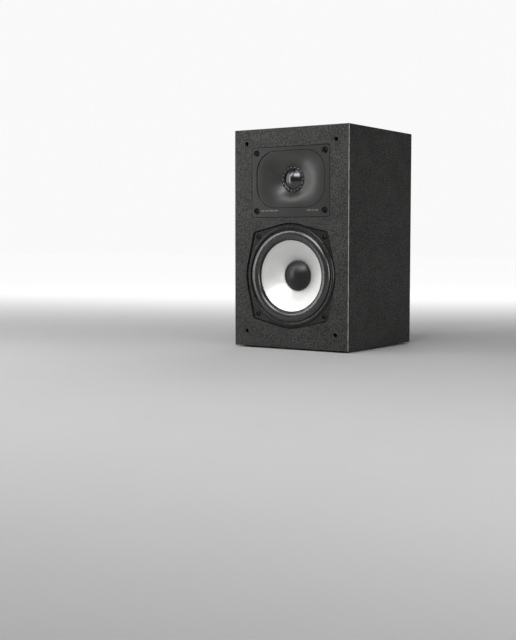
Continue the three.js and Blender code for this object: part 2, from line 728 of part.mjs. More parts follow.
function addTerminals() {
  const face = BACK + PROUD;
  const floor = face - CUP.depth;
  const { recessWidth, recessHeight, wall } = CUP;
  const outline = roundedRectangle(0, CUP_Z, CUP.width, CUP.height, 6);
  const shell = roundedRectangle(0, CUP_Z, recessWidth + 2 * wall, recessHeight + 2 * wall, 5);
  const recess = roundedRectangle(0, CUP_Z, recessWidth, recessHeight, 4);
  const studHoles = [-1, 1].map((side) =>
    plate(circle(side * POST.x, CUP_Z, POST.stud + GAP, TINY), [], floor - 5, floor + 1),
  );
  addPiece(
    'terminal_cup',
    carve(
      plate(outline, [], BACK + 0.1, face),
      [plate(shell, [], floor - wall, BACK + 0.5)],
      [plate(recess, [], floor, face + 1), ...studHoles],
    ),
    BLACK_PLASTIC,
  );

  for (const [name, side, material] of [['red', 1, RED_PLASTIC], ['black', -1, BLACK_PLASTIC]]) {
    const x = side * POST.x;
    const seat = floor + GAP;
    const collarTop = seat + POST.collarHeight;
    const tip = collarTop + POST.length - POST.collarHeight;
    const stud = turnedAt(
      [
        [0, floor - wall - POST.tail],
        [POST.stud - 0.6, floor - wall - POST.tail],
        [POST.stud, floor - wall - POST.tail + 0.8],
        [POST.stud, seat],
        [POST.collar, seat],
        [POST.collar, collarTop - 0.5],
        [POST.collar - 0.5, collarTop],
        [POST.stud, collarTop],
        [POST.stud, tip],
        [POST.bore, tip],
        [POST.bore, tip - POST.boreDepth],
        [0, tip - POST.boreDepth],
      ],
      x,
      CUP_Z,
      TINY,
      false,
    );
    addPiece(`terminal_stud_${name}`, stud, GOLD_PLATE);

    const capNear = collarTop + GAP;
    const capFar = capNear + POST.capLength;
    const insert = [
      [POST.stud + GAP, capNear],
      [POST.insert, capNear],
      [POST.insert, capFar],
      [POST.stud + GAP, capFar],
    ];
    addPiece(`terminal_insert_${name}`, turnedAt(insert, x, CUP_Z, COARSE), GOLD_PLATE);

    const knurl = Array.from({ length: 2 * POST.ribs }, (_, k) => {
      const angle = (Math.PI * k) / POST.ribs;
      const radius = POST.cap - (k % 2) * 0.5;
      return new THREE.Vector2(x + radius * Math.cos(angle), CUP_Z + radius * Math.sin(angle));
    });
    const cap = plate(knurl, [circle(x, CUP_Z, POST.insert + 0.2, COARSE)], capNear, capFar);
    addPiece(`terminal_cap_${name}`, cap, material);
  }
}

// ------------------------------------------------------------------------------------------------
// Crossover and wiring

function addCrossover() {
  const boardBottom = BOTTOM + CABINET.wall + BOARD.standoff;
  const boardTop = boardBottom + BOARD.thickness;
  const board = new THREE.BoxGeometry(BOARD.width, BOARD.depth, BOARD.thickness);
  addPiece('crossover_board', board.translate(0, BOARD.y, boardBottom + BOARD.thickness / 2), LAMINATE);

  const coil = new THREE.LatheGeometry(
    [
      new THREE.Vector2(INDUCTOR.inner, 0),
      new THREE.Vector2(INDUCTOR.outer, 0),
      new THREE.Vector2(INDUCTOR.outer, INDUCTOR.height),
      new THREE.Vector2(INDUCTOR.inner, INDUCTOR.height),
      new THREE.Vector2(INDUCTOR.inner, 0),
    ],
    COARSE,
  );
  coil.rotateX(Math.PI / 2).translate(INDUCTOR.x, INDUCTOR.y, boardTop + GAP);
  addPiece('crossover_inductor', coil, COPPER);

  const capacitor = new THREE.CylinderGeometry(CAPACITOR.radius, CAPACITOR.radius, CAPACITOR.length, COARSE);
  capacitor.rotateZ(Math.PI / 2).translate(CAPACITOR.x, CAPACITOR.y, boardTop + GAP + CAPACITOR.radius);
  addPiece('crossover_capacitor', capacitor, FILM);

  const resistor = new THREE.BoxGeometry(RESISTOR.width, RESISTOR.depth, RESISTOR.height);
  resistor.translate(RESISTOR.x, RESISTOR.y, boardTop + GAP + RESISTOR.height / 2);
  addPiece('crossover_resistor', resistor, CERAMIC);

  const wireStart = boardTop + WIRE.radius + GAP;
  const wooferRoute = [
    [44, 40, wireStart],
    [56, 25, wireStart + 8],
    [61, -5, WOOFER_Z - 34],
    [60, FRONT + 50, WOOFER_Z - 6],
    [57, FRONT + 32, WOOFER_Z + 14],
    [50, FRONT + 20, WOOFER_Z + 16],
    [44, FRONT + 18.5, WOOFER_Z + 9],
  ];
  addPiece('woofer_wire', tube(wooferRoute, WIRE.radius, 6, 14), BLACK_PLASTIC);
  const tweeterRoute = [
    [-44, 40, wireStart],
    [-57, 34, wireStart + 14],
    [-62, 12, WOOFER_Z],
    [-62, FRONT + 60, WOOFER_Z + 55],
    [-52, FRONT + 42, TWEETER_Z - 18],
    [-42, FRONT + 24, TWEETER_Z - 4],
    [-40, FRONT + 15, TWEETER_Z - 1],
    [-35, FRONT + 10.5, TWEETER_Z],
  ];
  addPiece('tweeter_wire', tube(tweeterRoute, WIRE.radius, 6, 16), RED_PLASTIC);
}

addCabinet();
addWoofer();
addTweeter();
addPort();
addTerminals();
addCrossover();

export default speaker;
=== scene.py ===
"""The looks of a two-way bookshelf loudspeaker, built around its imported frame.

Sizes in the classes are millimetres. A depth is measured backwards from the baffle's front face.
"""

import logging
import math
from dataclasses import dataclass
from enum import Enum
from typing import Any, Sequence

import bmesh
import bpy
from mathutils import Euler, Matrix, Vector
from mathutils.geometry import tessellate_polygon


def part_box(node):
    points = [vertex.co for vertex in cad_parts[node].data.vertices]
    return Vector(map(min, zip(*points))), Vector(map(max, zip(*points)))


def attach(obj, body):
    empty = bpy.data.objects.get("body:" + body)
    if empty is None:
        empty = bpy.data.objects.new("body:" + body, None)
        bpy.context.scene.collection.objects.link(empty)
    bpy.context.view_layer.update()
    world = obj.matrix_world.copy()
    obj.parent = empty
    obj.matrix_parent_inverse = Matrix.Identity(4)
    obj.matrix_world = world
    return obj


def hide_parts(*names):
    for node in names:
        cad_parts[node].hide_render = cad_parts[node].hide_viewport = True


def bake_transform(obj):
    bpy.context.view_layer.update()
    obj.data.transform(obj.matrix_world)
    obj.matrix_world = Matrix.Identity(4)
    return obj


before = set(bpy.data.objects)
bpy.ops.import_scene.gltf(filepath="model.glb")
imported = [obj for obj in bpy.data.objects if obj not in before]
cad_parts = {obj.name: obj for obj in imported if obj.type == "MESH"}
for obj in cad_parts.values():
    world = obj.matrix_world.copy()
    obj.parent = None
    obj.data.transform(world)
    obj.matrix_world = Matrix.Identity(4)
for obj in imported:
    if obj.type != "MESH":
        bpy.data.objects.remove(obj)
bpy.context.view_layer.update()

MM = 0.001
LOG = logging.getLogger("speaker")

Point = tuple[float, float]
Line = Sequence[Point]
Profile = tuple[tuple[float, ...], ...]


# --------------------------------------------------------------------------------------------------
# Places taken from the frame


@dataclass(frozen=True)
class NodeBox:
    """The box of one CAD node, in millimetres."""

    low: tuple[float, float, float]
    high: tuple[float, float, float]

    @classmethod
    def of(cls, node: str) -> "NodeBox":
        """A node's box, read from the frame."""
        low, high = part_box(node)
        return cls(tuple(v / MM for v in low), tuple(v / MM for v in high))

    def middle(self, axis: int) -> float:
        """The box's centre along one axis."""
        return (self.low[axis] + self.high[axis]) / 2

    def size(self, axis: int) -> float:
        """The box's length along one axis."""
        return self.high[axis] - self.low[axis]


BAFFLE = NodeBox.of("front_baffle")
FRONT = BAFFLE.low[1]
BACK = NodeBox.of("rear_panel").high[1]
BOTTOM = BAFFLE.low[2]
TOP = BAFFLE.high[2]
HALF_WIDTH = BAFFLE.high[0]
REAR_FACE = NodeBox.of("terminal_cup").high[1]
WOOFER_Z = NodeBox.of("woofer_cone").middle(2)
TWEETER_Z = NodeBox.of("tweeter_dome").middle(2)
PORT_Z = NodeBox.of("port_tube").middle(2)
CUP_Z = NodeBox.of("terminal_cup").middle(2)


# --------------------------------------------------------------------------------------------------
# Node helper and colours


def linear(hex_colour: str) -> tuple[float, float, float, float]:
    """Turns an sRGB hex colour into the linear colour that shaders take.

    Args:
        hex_colour: Such as "#3a3a39".

    Returns:
        Linear red, green, blue and an alpha of one.
    """
    values = [int(hex_colour[i : i + 2], 16) / 255 for i in (1, 3, 5)]
    turned = [v / 12.92 if v <= 0.04045 else ((v + 0.055) / 1.055) ** 2.4 for v in values]
    return (*turned, 1.0)


def add_node(
    tree: bpy.types.NodeTree,
    kind: str,
    settings: dict[str, Any] | None = None,
    inputs: dict[Any, Any] | None = None,
) -> bpy.types.Node:
    """Adds one node with its settings, values and links.

    Args:
        tree: The tree that takes the node.
        kind: The node's type name.
        settings: Properties of the node itself.
        inputs: Input name or number to a value or to the socket that feeds it.

    Returns:
        The new node.
    """
    node = tree.nodes.new(kind)
    for name, value in (settings or {}).items():
        setattr(node, name, value)
    for name, value in (inputs or {}).items():
        if isinstance(value, bpy.types.NodeSocket):
            tree.links.new(value, node.inputs[name])
        else:
            node.inputs[name].default_value = value
    return node


# --------------------------------------------------------------------------------------------------
# Finishes


@dataclass(frozen=True)
class Moulding:
    """A moulded, sprayed or plated skin: two close tones in soft patches, a fine grain and its relief."""

    name: str
    tone: str
    second_tone: str
    roughness: float
    swing: float = 0.05
    patch: float = 14.0
    grain: float = 0.6
    relief: float = 0.01
    ior: float = 1.5
    metallic: float = 0.0
    coat: float = 0.0
    coat_roughness: float = 0.1
    sheen: float = 0.0
    stretch: tuple[float, float, float] = (1.0, 1.0, 1.0)

    def start(self) -> tuple[bpy.types.Material, bpy.types.NodeTree, bpy.types.Node]:
        """Makes the empty material with its shader and the values that are the same all over.

        Returns:
            The material, its node tree and its shader.
        """
        material = bpy.data.materials.new(self.name)
        material.use_nodes = True
        tree = material.node_tree
        tree.nodes.clear()
        fixed = {
            "Metallic": self.metallic,
            "Coat Weight": self.coat,
            "Coat Roughness": self.coat_roughness,
            "Sheen Weight": self.sheen,
        }
        if self.metallic < 1.0:
            fixed["IOR"] = self.ior
        shader = add_node(tree, "ShaderNodeBsdfPrincipled", inputs=fixed)
        add_node(tree, "ShaderNodeOutputMaterial", inputs={"Surface": shader.outputs["BSDF"]})
        return material, tree, shader

    def build(self) -> bpy.types.Material:
        """Builds the node material.

        Returns:
            The material.
        """
        material, tree, shader = self.start()
        place = add_node(tree, "ShaderNodeTexCoord").outputs["Object"]
        mapped = add_node(
            tree, "ShaderNodeMapping", inputs={"Vector": place, "Scale": self.stretch}
        ).outputs[0]
        patch_scale, grain_scale = 1 / (self.patch * MM), 1 / (self.grain * MM)
        patches = add_node(
            tree, "ShaderNodeTexNoise", inputs={"Vector": mapped, "Scale": patch_scale, "Detail": 3.0}
        )
        grains = add_node(
            tree, "ShaderNodeTexNoise", inputs={"Vector": mapped, "Scale": grain_scale, "Detail": 2.0}
        )
        patch_part = add_node(
            tree, "ShaderNodeMath", {"operation": "MULTIPLY"}, {0: patches.outputs["Fac"], 1: 0.4}
        )
        both = add_node(
            tree,
            "ShaderNodeMath",
            {"operation": "MULTIPLY_ADD"},
            {0: grains.outputs["Fac"], 1: 0.6, 2: patch_part.outputs[0]},
        )
        spread = add_node(
            tree,
            "ShaderNodeMapRange",
            inputs={"Value": both.outputs[0], "From Min": 0.35, "From Max": 0.65},
        )
        colour = add_node(
            tree,
            "ShaderNodeMix",
            {"data_type": "RGBA"},
            {"Factor": spread.outputs[0], "A": linear(self.tone), "B": linear(self.second_tone)},
        )
        tree.links.new(colour.outputs["Result"], shader.inputs["Base Color"])
        rough = add_node(
            tree,
            "ShaderNodeMapRange",
            inputs={
                "Value": both.outputs[0],
                "From Min": 0.3,
                "From Max": 0.7,
                "To Min": self.roughness - self.swing,
                "To Max": self.roughness + self.swing,
            },
        )
        tree.links.new(rough.outputs[0], shader.inputs["Roughness"])
        bump = add_node(
            tree,
            "ShaderNodeBump",
            inputs={"Strength": 1.0, "Distance": self.relief * MM, "Height": grains.outputs["Fac"]},
        )
        tree.links.new(bump.outputs[0], shader.inputs["Normal"])
        return material


@dataclass(frozen=True)
class PebbledVinyl(Moulding):
    """Black PVC film embossed with a fine pebble, with a painted highlight along the two front uprights."""

    pebble: float = 1.5
    # Painted highlight along the front uprights: its tone, where it is full, where it ends, and the size of
    # its breakup.
    upright_highlight_tone: str = "#a6a6a3"
    highlight_full: float = 0.3
    highlight_reach: float = 0.9
    highlight_breakup: float = 5.0

    def upright_highlight_share(self, tree: bpy.types.NodeTree, place: bpy.types.NodeSocket) -> bpy.types.NodeSocket:
        """How strongly a point gets the painted highlight of a front upright, broken up along its length.

        Args:
            tree: The material's tree.
            place: The point's object coordinates.

        Returns:
            A socket with a share from 0 to 1.
        """
        parts = add_node(tree, "ShaderNodeSeparateXYZ", inputs={0: place})
        across = add_node(tree, "ShaderNodeMath", {"operation": "ABSOLUTE"}, {0: parts.outputs["X"]})
        inward = add_node(
            tree, "ShaderNodeMath", {"operation": "SUBTRACT"}, {0: HALF_WIDTH * MM, 1: across.outputs[0]}
        )
        backward = add_node(
            tree, "ShaderNodeMath", {"operation": "SUBTRACT"}, {0: parts.outputs["Y"], 1: FRONT * MM}
        )
        furthest = add_node(
            tree, "ShaderNodeMath", {"operation": "MAXIMUM"}, {0: inward.outputs[0], 1: backward.outputs[0]}
        )
        near = add_node(
            tree,
            "ShaderNodeMapRange",
            inputs={
                "Value": furthest.outputs[0],
                "From Min": self.highlight_full * MM,
                "From Max": self.highlight_reach * MM,
                "To Min": 1.0,
                "To Max": 0.0,
            },
        ).outputs[0]
        breakup_scale = 1 / (self.highlight_breakup * MM)
        breakup = add_node(
            tree, "ShaderNodeTexNoise", inputs={"Vector": place, "Scale": breakup_scale, "Detail": 3.0}
        )
        kept = add_node(
            tree,
            "ShaderNodeMapRange",
            inputs={"Value": breakup.outputs["Fac"], "From Min": 0.35, "From Max": 0.6, "To Min": 0.55},
        ).outputs[0]
        return add_node(tree, "ShaderNodeMath", {"operation": "MULTIPLY"}, {0: near, 1: kept}).outputs[0]

    def build(self) -> bpy.types.Material:
        """Builds the node material.

        Returns:
            The material.
        """
        material, tree, shader = self.start()
        place = add_node(tree, "ShaderNodeTexCoord").outputs["Object"]
        pebbles = add_node(
            tree,
            "ShaderNodeTexVoronoi",
            {"feature": "SMOOTH_F1"},
            {"Vector": place, "Scale": 1 / (self.pebble * MM), "Smoothness": 0.6, "Randomness": 1.0},
        )
        cloud_scale, speckle_scale = 1 / (self.patch * MM), 1 / (self.grain * MM)
        clouds = add_node(
            tree, "ShaderNodeTexNoise", inputs={"Vector": place, "Scale": cloud_scale, "Detail": 4.0}
        )
        speckle = add_node(
            tree, "ShaderNodeTexNoise", inputs={"Vector": place, "Scale": speckle_scale, "Detail": 3.0}
        )
        # Painted glint, in part: each pebble's crown is pushed towards the pale tone, beside the random
        # speckle and clouds.
        crown_glint = add_node(
            tree,
            "ShaderNodeMapRange",
            inputs={
                "Value": pebbles.outputs["Distance"],
                "From Min": 0.1,
                "From Max": 0.75,
                "To Min": 1.0,
                "To Max": 0.0,
            },
        )
        speckle_part = add_node(
            tree, "ShaderNodeMath", {"operation": "MULTIPLY"}, {0: speckle.outputs["Fac"], 1: 0.65}
        )
        mixed = add_node(
            tree,
            "ShaderNodeMath",
            {"operation": "MULTIPLY_ADD"},
            {0: crown_glint.outputs[0], 1: 0.45, 2: speckle_part.outputs[0]},
        )
        even = add_node(
            tree,
            "ShaderNodeMath",
            {"operation": "MULTIPLY_ADD"},
            {0: clouds.outputs["Fac"], 1: 0.25, 2: mixed.outputs[0]},
        )
        share = add_node(
            tree,
            "ShaderNodeMapRange",
            inputs={"Value": even.outputs[0], "From Min": 0.5, "From Max": 0.88},
        )
        skin = add_node(
            tree,
            "ShaderNodeMix",
            {"data_type": "RGBA"},
            {"Factor": share.outputs[0], "A": linear(self.tone), "B": linear(self.second_tone)},
        )
        # Painted highlight: the pale tone is laid over the skin along both front uprights.
        highlighted_skin = add_node(
            tree,
            "ShaderNodeMix",
            {"data_type": "RGBA"},
            {"Factor": self.upright_highlight_share(tree, place), "A": skin.outputs["Result"], "B": linear(self.upright_highlight_tone)},
        )
        tree.links.new(highlighted_skin.outputs["Result"], shader.inputs["Base Color"])
        rough = add_node(
            tree,
            "ShaderNodeMapRange",
            inputs={
                "Value": share.outputs[0],
                "To Min": self.roughness + self.swing,
                "To Max": self.roughness - self.swing,
            },
        )
        tree.links.new(rough.outputs[0], shader.inputs["Roughness"])
        bump = add_node(
            tree,
            "ShaderNodeBump",
            inputs={"Strength": 1.0, "Distance": self.relief * MM, "Height": mixed.outputs[0]},
        )
        tree.links.new(bump.outputs[0], shader.inputs["Normal"])
        return material


@dataclass(frozen=True)
class Weave(Moulding):
    """Cloth of two crossing threads, one thread every few tenths of a millimetre."""

    thread: float = 0.9

    def build(self) -> bpy.types.Material:
        """Builds the node material.

        Returns:
            The material.
        """
        material, tree, shader = self.start()
        place = add_node(tree, "ShaderNodeTexCoord").outputs["Object"]
        waves = [
            add_node(
                tree,
                "ShaderNodeTexWave",
                {"bands_direction": direction},
                {"Vector": place, "Scale": math.pi / 10 / (self.thread * MM), "Distortion": 0.6},
            ).outputs["Fac"]
            for direction in ("X", "Z")
        ]
        height = add_node(
            tree, "ShaderNodeMath", {"operation": "MAXIMUM"}, {0: waves[0], 1: waves[1]}
        ).outputs[0]
        colour = add_node(
            tree,
            "ShaderNodeMix",
            {"data_type": "RGBA"},
            {"Factor": height, "A": linear(self.second_tone), "B": linear(self.tone)},
        )
        tree.links.new(colour.outputs["Result"], shader.inputs["Base Color"])
        shader.inputs["Roughness"].default_value = self.roughness
        bump = add_node(tree, "ShaderNodeBump", inputs={"Distance": self.relief * MM, "Height": height})
        tree.links.new(bump.outputs[0], shader.inputs["Normal"])
        return material


class Finish(Enum):
    """Every finish on the speaker, by what the real surface is."""

    # Embossed PVC film on board: charcoal, a pebble that breaks up its soft sheen. The pebble is drawn
    # coarser than the real one, or it would not show from the camera.
    # Both front uprights carry a painted highlight, a pale tone broken up by noise.
    VINYL = PebbledVinyl(
        "embossed_black_vinyl",
        "#0c0c0b",
        # The pale tone: random speckle, and in part a painted glint on each pebble's crown.
        "#3c3c3a",
        0.5,
        swing=0.08,
        patch=30.0,
        grain=1.25,
        relief=0.42,
        ior=1.42,
        pebble=1.5,
    )
    # Spark-eroded ABS moulding: a smooth satin that shows the horn's slow shading.
    HORN = Moulding("satin_abs", "#282827", "#2e2e2d", 0.32, swing=0.03, patch=20.0, grain=0.35, relief=0.004)
    # Glass-filled moulding of the basket: a touch darker and glossier than the horn plate.
    BASKET = Moulding("glass_filled_moulding", "#141413", "#1c1c1b", 0.27, grain=0.5, relief=0.012)
    # Butyl rubber: black, a broad satin highlight along the roll.
    ROLL = Moulding("butyl_rubber", "#0c0c0c", "#121211", 0.27, swing=0.04, grain=0.4, ior=1.85, relief=0.006)
    # Pearled polypropylene: pale silver grey with a soft metallic sheen.
    CONE = Moulding(
        "pearled_polypropylene",
        "#d3d3d1",
        "#e0e0de",
        0.42,
        swing=0.03,
        patch=25.0,
        grain=0.5,
        relief=0.003,
        metallic=0.65,
    )
    # Soft-coated moulding: near black with a soft sheen.
    CAP = Moulding("soft_coated_moulding", "#0b0b0b", "#101010", 0.36, swing=0.03, grain=0.4, relief=0.008)
    # Black-anodised foil: a dark mirror with one bright, soft-edged highlight.
    DOME = Moulding(
        "black_anodised_foil", "#4e4e50", "#59595b", 0.2, swing=0.02, grain=0.3, relief=0.003, metallic=1.0
    )
    # Polished black moulding of the ring round the dome: a dark frame for it.
    RING = Moulding("polished_black_moulding", "#050505", "#080808", 0.3, grain=0.4, relief=0.004)
    # Notches of the ring, coloured pale.
    NOTCH = Moulding("rubbed_moulding", "#a0a09d", "#b4b4b1", 0.4, grain=0.4, relief=0.01)
    # Black-oxide steel screws: dark metal with small bright glints.
    BLACK_OXIDE = Moulding(
        "black_oxide_steel", "#262627", "#343435", 0.22, grain=0.3, relief=0.006, metallic=1.0
    )
    # Moulded rubber of feet and sockets: dull dark grey.
    RUBBER = Moulding("moulded_rubber", "#2a2a29", "#353534", 0.5, grain=0.5, relief=0.02)
    # Pad-printed ink: flat mid grey, slightly uneven.
    INK = Moulding("pad_print_ink", "#5c5c5a", "#747471", 0.6, grain=0.5, relief=0.002)
    # Moulded ABS of port and terminal cup: black with a leather-fine grain.
    BLACK_ABS = Moulding("black_abs", "#121212", "#1a1a1a", 0.42, grain=0.5, relief=0.02)
    # Clear-coated ABS of the posts: deep red and black.
    RED_CAP = Moulding("red_abs", "#8e1111", "#a31717", 0.3, grain=0.5, relief=0.006, coat=0.3)
    BLACK_CAP = Moulding("black_post_abs", "#101010", "#191919", 0.3, grain=0.5, relief=0.006, coat=0.3)
    # Gold flash over nickelled brass: warm, turned, bright.
    GOLD = Moulding("gold_flashed_brass", "#d9b36a", "#e6c582", 0.22, grain=0.25, relief=0.004, metallic=1.0)
    # Zinc-plated steel of plates and yokes: cool grey, faintly brushed.
    ZINC = Moulding(
        "zinc_plated_steel",
        "#9fa3a6",
        "#b4b7b9",
        0.34,
        grain=0.5,
        relief=0.006,
        metallic=1.0,
        stretch=(1.0, 6.0, 1.0),
    )
    # Sintered ferrite: charcoal stone with a fine tooth.
    FERRITE = Moulding("sintered_ferrite", "#29292b", "#353538", 0.66, grain=0.5, relief=0.03, ior=1.8)
    # Enamelled copper wire: orange-brown, glossy.
    COPPER = Moulding(
        "enamelled_copper",
        "#b4622f",
        "#c97a42",
        0.28,
        grain=0.4,
        relief=0.01,
        metallic=1.0,
        stretch=(1.0, 4.0, 1.0),
    )
    # Varnished cotton of the spider: amber threads.
    COTTON = Weave("varnished_cotton", "#b28a45", "#7c5a24", 0.75, relief=0.12)
    # Polyester wadding: white, lofty.
    WADDING = Moulding(
        "polyester_wadding", "#d9d9d5", "#f0f0ee", 0.95, patch=9.0, grain=1.8, relief=0.6, sheen=0.3
    )
    # Closed-cell foam gasket: dull black with small pores.
    FOAM = Moulding("cell_foam", "#161616", "#222221", 0.95, grain=0.7, relief=0.06)
    # Paper laminate: brown board.
    LAMINATE = Moulding("paper_laminate", "#8b6a33", "#9b7a42", 0.5, grain=0.8, relief=0.01)
    # Film capacitor's sleeve: yellow tape.
    FILM = Moulding("film_sleeve", "#c7a52c", "#d6b743", 0.35, grain=1.0, relief=0.01)
    # Cement-filled resistor: chalky white.
    CEMENT = Moulding("cement_block", "#cfccc2", "#e0ddd4", 0.85, grain=0.5, relief=0.05)

    def material(self) -> bpy.types.Material:
        """The finish's material, built on first use."""
        return bpy.data.materials.get(self.value.name) or self.value.build()


# --------------------------------------------------------------------------------------------------
# Outlines and profiles


def arc(x: float, z: float, radius: float, start: float, end: float, steps: int) -> list[Point]:
    """Points of an arc in the XZ plane, both ends included.

    Args:
        x: The centre across.
        z: The centre's height.
        radius: The arc's radius.
        start: The first point's angle in degrees.
        end: The last point's angle in degrees.
        steps: Segments between them.

    Returns:
        The points.
    """
    angles = (math.radians(start + (end - start) * i / steps) for i in range(steps + 1))
    return [(x + radius * math.cos(a), z + radius * math.sin(a)) for a in angles]


def circle(x: float, z: float, radius: float, steps: int = 96) -> list[Point]:
    """Points of a full circle."""
    return arc(x, z, radius, 0, 360, steps)[:-1]


def rounded_rectangle(
    x: float, z: float, width: float, height: float, radius: float, steps: int = 8
) -> list[Point]:
    """A rectangle with round corners, as one closed outline.

    Args:
        x: The centre across.
        z: The centre's height.
        width: The whole width.
        height: The whole height.
        radius: Radius of the corners.
        steps: Segments in each corner.

    Returns:
        The outline's points.
    """
    dx, dz = width / 2 - radius, height / 2 - radius
    corners = ((dx, dz, 0), (-dx, dz, 90), (-dx, -dz, 180), (dx, -dz, 270))
    return [p for cx, cz, a in corners for p in arc(x + cx, z + cz, radius, a, a + 90, steps)]


def filleted(corners: Sequence[tuple[float, ...]], closed: bool = False, steps: int = 4) -> list[Point]:
    """Rounds the corners of a profile.

    Args:
        corners: (radius, y) or (radius, y, fillet) for each corner.
        closed: Whether the last corner joins the first.
        steps: Segments in each fillet.

    Returns:
        The profile's points.
    """
    points: list[Point] = []
    count = len(corners)
    for i, corner in enumerate(corners):
        here = Vector(corner[:2])
        size = corner[2] if len(corner) > 2 else 0.0
        if not size or (not closed and i in (0, count - 1)):
            points.append(tuple(here))
            continue
        before = (Vector(corners[i - 1][:2]) - here).normalized()
        after = (Vector(corners[(i + 1) % count][:2]) - here).normalized()
        for k in range(steps + 1):
            t = k / steps
            curve = before * size * (1 - t) ** 2 + after * size * t**2
            points.append(tuple(here + curve))
    return points


def node_outline(place: NodeBox, radius: float, steps: int = 8, grow: float = 0.0) -> list[Point]:
    """A round-cornered outline of a node's box as it is seen from the front.

    Args:
        place: The node's box.
        radius: Radius of the corners.
        steps: Segments in each corner.
        grow: How far the outline stands outside the box.

    Returns:
        The outline's points.
    """
    width, height = place.size(0) + 2 * grow, place.size(2) + 2 * grow
    return rounded_rectangle(place.middle(0), place.middle(2), width, height, radius, steps)


def at_depth(line: Sequence[tuple[float, ...]]) -> list[tuple[float, ...]]:
    """Turns (radius, depth, ...) into (radius, y, ...)."""
    return [(p[0], FRONT + p[1], *p[2:]) for p in line]


# --------------------------------------------------------------------------------------------------
# Mesh builders


def evaluated_mesh(obj: bpy.types.Object) -> bpy.types.Mesh:
    """A plain mesh of an object with its modifiers applied.

    Args:
        obj: A mesh or curve object.

    Returns:
        A new mesh.
    """
    bpy.context.view_layer.update()
    graph = bpy.context.evaluated_depsgraph_get()
    return bpy.data.meshes.new_from_object(obj.evaluated_get(graph), depsgraph=graph)


def settle_modifiers(obj: bpy.types.Object) -> bpy.types.Object:
    """Applies an object's modifiers and keeps the object.

    Args:
        obj: The object.

    Returns:
        The same object with a new mesh.
    """
    mesh = evaluated_mesh(obj)
    obj.modifiers.clear()
    obj.data = mesh
    return obj


def close_skin(mesh: bpy.types.Mesh, reach: float) -> None:
    """Merges a mesh's doubles and turns its faces outwards.

    Args:
        mesh: The mesh.
        reach: Points nearer than this many metres are one.
    """
    work = bmesh.new()
    work.from_mesh(mesh)
    bmesh.ops.remove_doubles(work, verts=work.verts, dist=reach)
    bmesh.ops.recalc_face_normals(work, faces=work.faces)
    work.to_mesh(mesh)
    work.free()
    mesh.shade_smooth()


def mesh_object(
    name: str, vertices: Sequence[Sequence[float]], faces: Sequence[Sequence[int]]
) -> bpy.types.Object:
    """A smooth-shaded object, its faces turned out.

    Args:
        name: The object's name.
        vertices: Points in millimetres.
        faces: Each face's point numbers.

    Returns:
        The new object, linked to the scene.
    """
    mesh = bpy.data.meshes.new(name)
    mesh.from_pydata([[c * MM for c in v] for v in vertices], [], faces)
    close_skin(mesh, 1e-7)
    obj = bpy.data.objects.new(name, mesh)
    bpy.context.scene.collection.objects.link(obj)
    return obj


def turn(
    name: str, line: Line, x: float, z: float, segments: int = 128, closed: bool = True, crease: float = 40.0
) -> bpy.types.Object:
    """Turns a profile of (radius, y) about a line along Y.

    Args:
        name: The object's name.
        line: The profile, in millimetres.
        x: Where the axis lies across.
        z: Where the axis lies in height.
        segments: Steps round the axis.
        closed: Whether the profile closes on itself; else it starts and ends on the axis.
        crease: Angle in degrees above which an edge stays sharp.

    Returns:
        The turned object.
    """
    vertices: list[tuple[float, float, float]] = []
    rings: list[list[int]] = []
    for radius, y in line:
        if radius < 1e-6:
            rings.append([len(vertices)] * segments)
            vertices.append((x, y, z))
            continue
        rings.append(list(range(len(vertices), len(vertices) + segments)))
        for k in range(segments):
            angle = 2 * math.pi * k / segments
            vertices.append((x + radius * math.cos(angle), y, z + radius * math.sin(angle)))
    pairs = list(zip(rings, rings[1:] + rings[:1])) if closed else list(zip(rings, rings[1:]))
    faces = []
    for first, second in pairs:
        for k in range(segments):
            n = (k + 1) % segments
            corners = list(dict.fromkeys((first[k], first[n], second[n], second[k])))
            if len(corners) > 2:
                faces.append(corners)
    obj = mesh_object(name, vertices, faces)
    obj.data.set_sharp_from_angle(angle=math.radians(crease))
    return obj


def prism(name: str, outline: Line, near: float, far: float, holes: Sequence[Line] = ()) -> bpy.types.Object:
    """A flat outline in the XZ plane, with holes, from one Y to another.

    Args:
        name: The object's name.
        outline: The outer outline.
        near: The front face's Y.
        far: The rear face's Y.
        holes: Outlines of through holes.

    Returns:
        The solid.
    """
    loops = [list(outline), *[list(hole) for hole in holes]]
    flat = [point for loop in loops for point in loop]
    triangles = tessellate_polygon([[Vector((px, pz, 0.0)) for px, pz in loop] for loop in loops])
    count = len(flat)
    vertices = [(px, near, pz) for px, pz in flat] + [(px, far, pz) for px, pz in flat]
    faces = [tuple(t) for t in triangles] + [tuple(i + count for i in t) for t in triangles]
    start = 0
    for loop in loops:
        size = len(loop)
        for k in range(size):
            a, b = start + k, start + (k + 1) % size
            faces.append((a, b, b + count, a + count))
        start += size
    obj = mesh_object(name, vertices, faces)
    work = bmesh.new()
    work.from_mesh(obj.data)
    bmesh.ops.dissolve_limit(work, angle_limit=math.radians(0.3), verts=work.verts, edges=work.edges)
    work.to_mesh(obj.data)
    work.free()
    return obj


def loft(name: str, rings: Sequence[Sequence[Sequence[float]]]) -> bpy.types.Object:
    """A closed skin through rings of equal point count, with a flat face at both ends.

    Args:
        name: The object's name.
        rings: Each ring's points, from one end to the other.

    Returns:
        The solid.
    """
    count = len(rings[0])
    vertices = [p for ring in rings for p in ring]
    faces = []
    for r in range(len(rings) - 1):
        for k in range(count):
            n = (k + 1) % count
            faces.append((r * count + k, r * count + n, (r + 1) * count + n, (r + 1) * count + k))
    last = (len(rings) - 1) * count
    faces += [tuple(range(count)), tuple(range(last, last + count))]
    return mesh_object(name, vertices, faces)


